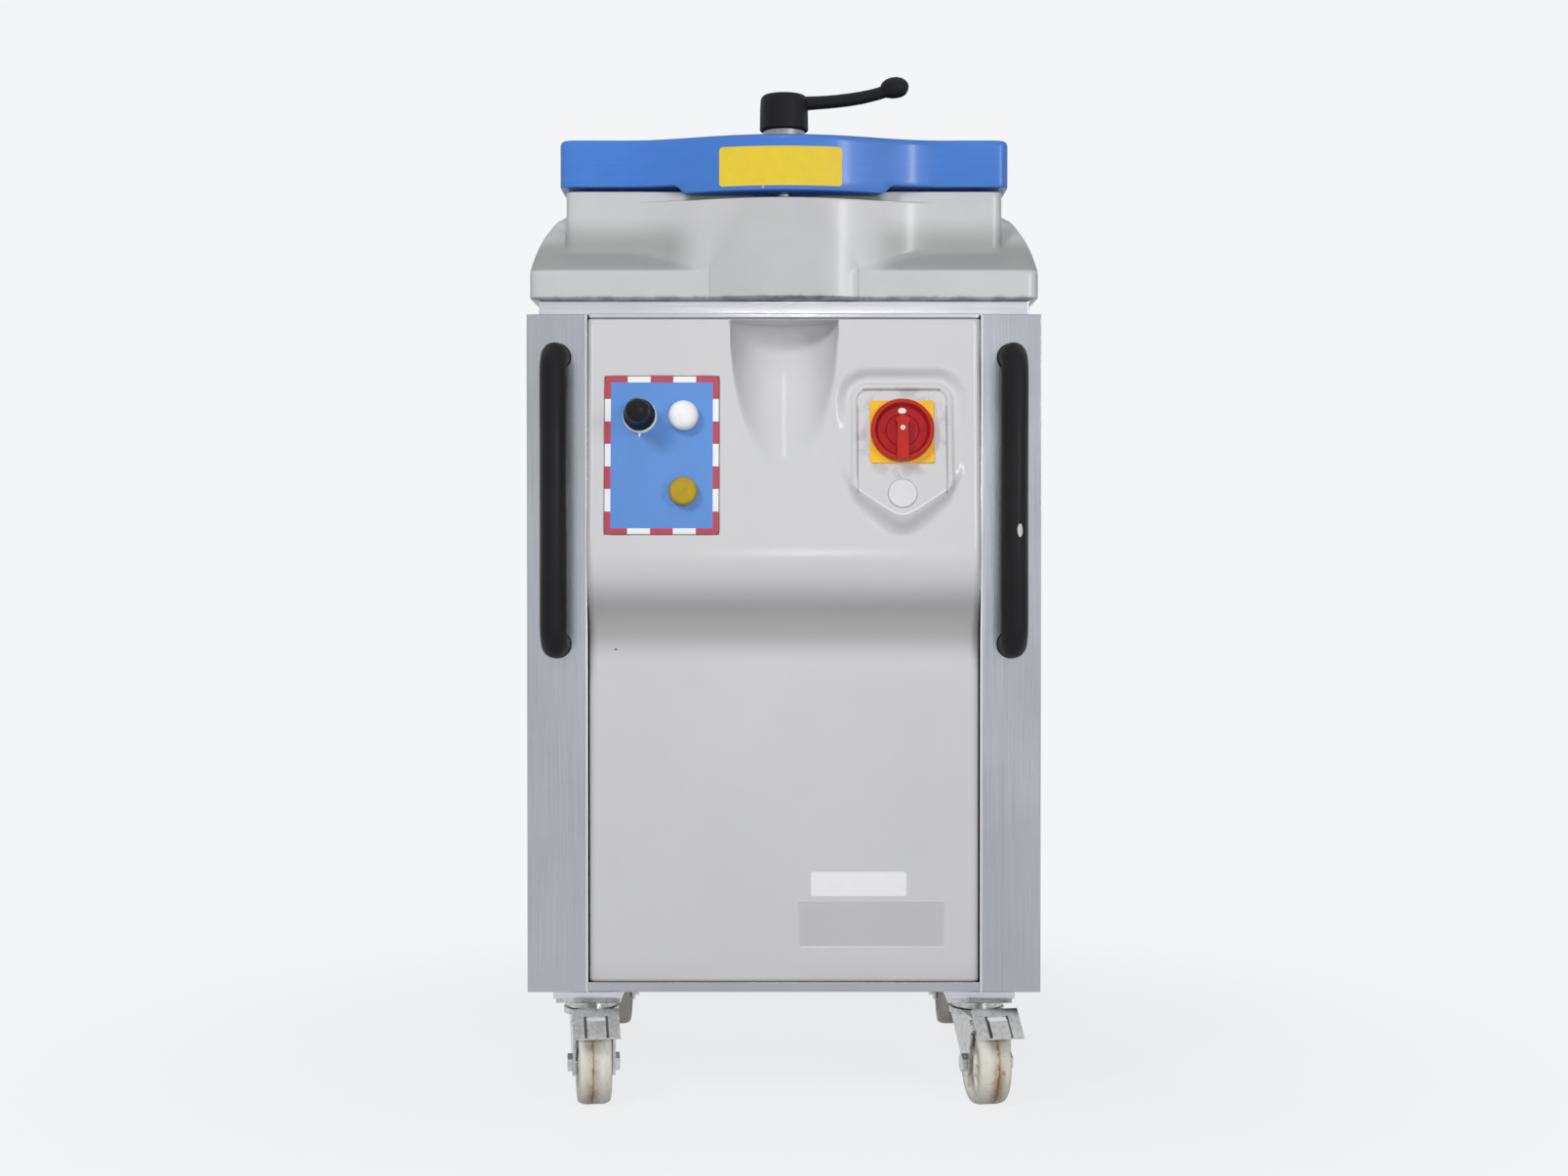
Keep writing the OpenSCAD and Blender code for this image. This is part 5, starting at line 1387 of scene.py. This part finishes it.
class BuildControls(bpy.types.Operator):
    """Control plate with its joystick, white dome and yellow button"""
    bl_idname = "divider.controls"
    bl_label = "Controls"

    def execute(self, context):
        sizes = context.scene.divider_panel
        plate = on_face(sizes.plate_x, sizes.plate_z)
        proud = 0.0010
        stick, white, yellow = (plate @ Matrix.Translation((x, y, proud)) for x, y in
                                ((-0.023, 0.041), (0.023, 0.041), (0.023, -0.039)))
        work = Work()
        field = rounded(rectangle(sizes.plate_w, sizes.plate_h), 0.0035, 5)
        work.prism(field, -sizes.plate_sink, proud, plate, 0.0003, 2)
        holes = Work()
        for place, r in ((stick, 0.0155), (white, 0.0115), (yellow, 0.0115)):
            holes.rod(r, -0.01, 0.01, place)
        work.minus(holes)
        work.piece("control_panel_plate", finish("printed_plate"), "base", "blue_plate",
                   ("control_plate",), 35)

        # Place, bore, flange, neck, height and softness of each ring
        work = Work()
        rings = ((stick, 0.0125, 0.0180, 0.0150, 0.0040, 0.0012),
                 (white, 0.0071, 0.0150, 0.0110, 0.0020, 0.0008),
                 (yellow, 0.0071, 0.0140, 0.0110, 0.0020, 0.0008))
        for place, bore, flange, neck, high, soft in rings:
            ring = fillet([(bore, -0.010), (bore, high), (flange, high), (flange, 0.0), (neck, 0.0),
                           (neck, -0.010)], soft)
            work.turned(ring + ring[:1], place)
        work.piece("control_rings", finish("white_plastic"), "base", "white_plastic", ("control_bezels",))

        bell = [(0.0140, 0.0116), (0.0164, 0.0112), (0.0170, 0.0126), (0.0163, 0.0152), (0.0141, 0.0196),
                (0.0119, 0.0252), (0.0106, 0.0305), (0.0100, 0.0330)]
        knob = ball(0.0118, 0.003, -90, 38) + fillet(bell, 0.0016) + ball(0.0128, 0.0421, -38, 90, 18)
        spun(knob, stick, 64,
             "joystick_stick", finish("black_plastic"), "joystick", "black_plastic", ("joystick",), 55)
        stem = [(0, -0.008), (0.0070, -0.008), (0.0070, 0.0062)]
        dome = [(0.0150, 0.0060), (0.0160, 0.0066), (0.0160, 0.0088), (0.0152, 0.0122), (0.0134, 0.0150),
                (0.0105, 0.0168), (0.0060, 0.0178), (0, 0.0181)]
        spun(fillet(stem + dome, 0.0020), white, 64,
             "white_dome", finish("white_plastic"), "white_button", "white_plastic", ("white_button",), 60)
        cap = [(0.0144, 0.0060), (0.0150, 0.0066), (0.0150, 0.0100), (0.0138, 0.0126), (0.0118, 0.0137),
               (0.0104, 0.0132), (0.0090, 0.0131), (0, 0.0135)]
        spun(fillet(stem + cap, 0.0013), yellow, 64,
             "yellow_cap", finish("ochre_rubber"), "yellow_button", "yellow_plastic", ("yellow_button",), 60)
        return {"FINISHED"}


class BuildSwitch(bpy.types.Operator):
    """Main switch: yellow plate, red knob with its grip, and the blanking plug"""
    bl_idname = "divider.main_switch"
    bl_label = "Main Switch"

    def execute(self, context):
        sizes = context.scene.divider_panel
        podium = on_face(sizes.podium_x, sizes.podium_z, sizes.podium_tilt)
        place = podium @ Matrix.Translation((0, sizes.switch_up, 0))
        work = Work()
        work.prism(rounded(rectangle(0.068, 0.068), 0.0025, 4), 0.0, 0.0020, place, 0.0005)
        hole = Work()
        hole.rod(0.0052, -0.01, 0.01, place)
        work.minus(hole)
        work.piece("switch_escutcheon", finish("yellow_plastic"), "base", "yellow_plastic",
                   ("switch_plate",), 35)

        work = Work()
        dish = [(0, -0.014), (0.0050, -0.014), (0.0050, 0.0026), (0.0322, 0.0026), (0.0335, 0.0036),
                (0.0335, 0.0118), (0.0318, 0.0135), (0.0292, 0.0135), (0.0284, 0.0120), (0.0276, 0.0066),
                (0.0262, 0.0056), (0.0175, 0.0056), (0.0165, 0.0074), (0, 0.0074)]
        work.turned(fillet(dish, 0.0012), place, 96)
        grip = rounded([(-0.0063, -0.0332), (0.0063, -0.0332), (0.0057, 0.0050), (0.0080, 0.0088),
                        (0.0, 0.0158), (-0.0080, 0.0088), (-0.0057, 0.0050)], 0.0006, 3)
        work.prism(grip, 0.0050, 0.0190, place, 0.0009, 3)
        work.piece("switch_dial", finish("red_plastic"), "switch_knob", "red_plastic", ("switch_knob",), 40)

        # A disc of darker red on the dish's floor, painted shade in the knob's hollow
        work = Work()
        floor = [(0, 0.0050), (0, 0.0084), (0.0164, 0.0084), (0.0182, 0.0064), (0.0258, 0.0064),
                 (0.0279, 0.0096), (0.0281, 0.0050)]
        work.turned(fillet(floor, 0.0007), place, 96)
        for side in (-1, 1):
            eye = place @ Matrix.Translation((side * 0.0205, 0, 0.0060))
            work.turned([(0.0013, 0.0), (0.0013, 0.0013), (0.0023, 0.0013), (0.0023, 0.0)], eye, 24)
        work.piece("switch_dial_floor", finish("deep_red"), "switch_knob", "red_plastic", (), 40)

        work = Work()
        cap = [(0.0, 0.0186), (0.0026, 0.0186), (0.0026, 0.0197), (0.0016, 0.0197), (0.0013, 0.0190),
               (0.0, 0.0190)]
        work.turned(fillet(cap, 0.0003), place, 32)
        mark = place @ Matrix.Translation((0, 0.0212, 0.0055)) @ Matrix.Diagonal((1.0, 0.74, 1.0, 1.0))
        work.turned(fillet([(0.0, 0.0), (0.0044, 0.0), (0.0044, 0.0016), (0.0, 0.0020)], 0.0006), mark, 32)
        work.piece("switch_cap_and_mark", finish("cream_plastic"), "switch_knob", "white_plastic")

        plug = [(0, -0.004), (0.0110, -0.004), (0.0110, 0.0003), (0.0147, 0.0003), (0.0150, 0.0006),
                (0.0150, 0.0013), (0.0142, 0.0016), (0, 0.0017)]
        spun(fillet(plug, 0.0005), podium @ Matrix.Translation((0, -sizes.plug_down, 0)), 72,
             "round_plug", finish("plug_grey"), "base", "grey_panel", ("blanking_plug",), 40)
        return {"FINISHED"}


class BuildLever(bpy.types.Operator):
    """Clamping lever: a round hub and a curved arm with a bulb"""
    bl_idname = "divider.lever"
    bl_label = "Clamping Lever"

    def execute(self, context):
        place = LOCK_AXIS @ Matrix.Translation((0, 0, 1.047))
        work = Work()
        hub = [(SHAFT_HOLE_R, 0.0185), (SHAFT_HOLE_R, 0.0), (0.0246, 0.0), (0.0260, 0.0014), (0.0256, 0.0260),
               (0.0250, 0.0350), (0.0222, 0.0386), (0.0160, 0.0390), (0.0, 0.0390)]
        work.turned([(0, 0.0185)] + fillet(hub, 0.0030), place, 80)

        # Distance from the hub, height and radius along the arm and its bulb, in millimetres
        arm = [(14, 29.6, 8.6), (24, 30.3, 7.5), (34, 30.9, 7.1), (46, 31.7, 7.0), (58, 32.8, 6.9),
               (70, 34.3, 6.9), (82, 36.2, 6.8), (93, 38.6, 6.6), (102, 41.0, 6.6), (106, 42.4, 6.7),
               (107.6, 43.3, 8.0), (109.6, 44.4, 9.5), (112.5, 45.7, 10.7), (116.5, 46.9, 11.3),
               (120.5, 47.4, 11.3), (124.5, 47.0, 10.7), (128, 46.2, 9.2), (130.8, 45.4, 7.0),
               (132.4, 44.9, 4.2), (133, 44.7, 0.4)]
        work.tube([place @ Vector((x * MM, 0, z * MM)) for x, z, r in arm], [r * MM for x, z, r in arm], 28)
        work.piece("clamping_lever", finish("black_coat"), "lock", "black_plastic", ("lock_lever",), 50)
        return {"FINISHED"}


class BuildLabels(bpy.types.Operator):
    """Two blank stickers: a white one on the panel and a yellow one on the lid"""
    bl_idname = "divider.labels"
    bl_label = "Labels"

    def execute(self, context):
        upright = Matrix(((1, 0, 0, 0.07955), (0, 0, -1, -0.2920), (0, 1, 0, 0.2430), (0, 0, 0, 1)))
        work = Work()
        work.prism(rounded(rectangle(0.1019, 0.026), 0.0022, 4), -0.0002, 0.00035, upright, 0.0001, 1)
        work.piece("white_sticker", finish("white_label"), "base", "white_plastic")

        sizes = context.scene.divider_castings
        plan = Casting(sizes, sizes.lid_over)
        left, right, low, height, corner = -0.0685, 0.0613, 0.9835, 0.0415, 0.0025
        ahead = -math.pi / 2

        def skin(x, z, lift):
            turn = ahead + math.atan2(x, plan.bulge(ahead))
            for _ in range(4):
                turn = ahead + math.asin(x / plan.wall(turn))
            return plan.point(turn, plan.wall(turn) + lift, z)

        def where(x, row):
            share, lift = row
            room = min(x - left, right - x)
            trim = corner - math.sqrt(max(0.0, corner ** 2 - max(0.0, corner - room) ** 2))
            return skin(x, low + trim + (height - 2 * trim) * share, lift)

        work = Work()
        across = [left + (right - left) * i / 60 for i in range(61)]
        lifts = [(0.0, -0.0003)] + [(i / 6, 0.00035) for i in range(7)] + [(1.0, -0.0003)]
        work.sheet(across, lifts, where)
        work.piece("yellow_sticker", finish("yellow_label"), "lid", "yellow_plastic", (), 50)
        return {"FINISHED"}


class DividerPanel(bpy.types.Panel):
    """Lists the steps in the 3D view's sidebar"""
    bl_idname = "VIEW3D_PT_divider"
    bl_label = "Dough Divider"
    bl_space_type = "VIEW_3D"
    bl_region_type = "UI"
    bl_category = "Divider"

    def draw(self, context):
        for step in STEPS:
            self.layout.operator(step.bl_idname)


GROUPS = {
    "divider_panel": PanelSizes,
    "divider_castings": CastingSizes,
    "divider_handles": HandleSizes,
    "divider_casters": CasterSizes,
    "divider_colours": FinishColours,
    "divider_stage": StageSetting,
}
STEPS = (BuildStage, BuildStand, BuildHandles, BuildCasters, BuildMechanism, BuildFrontPanel, BuildHousing,
         BuildLid, BuildControls, BuildSwitch, BuildLever, BuildLabels)


def register():
    """Adds the settings, the steps and the sidebar panel."""
    for group in GROUPS.values():
        bpy.utils.register_class(group)
    for name, group in GROUPS.items():
        setattr(bpy.types.Scene, name, PointerProperty(type=group))
    for step in STEPS:
        bpy.utils.register_class(step)
    bpy.utils.register_class(DividerPanel)


def unregister():
    """Takes away what register added."""
    bpy.utils.unregister_class(DividerPanel)
    for step in reversed(STEPS):
        bpy.utils.unregister_class(step)
    for name, group in reversed(GROUPS.items()):
        delattr(bpy.types.Scene, name)
        bpy.utils.unregister_class(group)


def main():
    """Builds the machine step by step."""
    register()
    for step in STEPS:
        family, name = step.bl_idname.split(".")
        getattr(getattr(bpy.ops, family), name)()


if __name__ == "__main__":
    main()
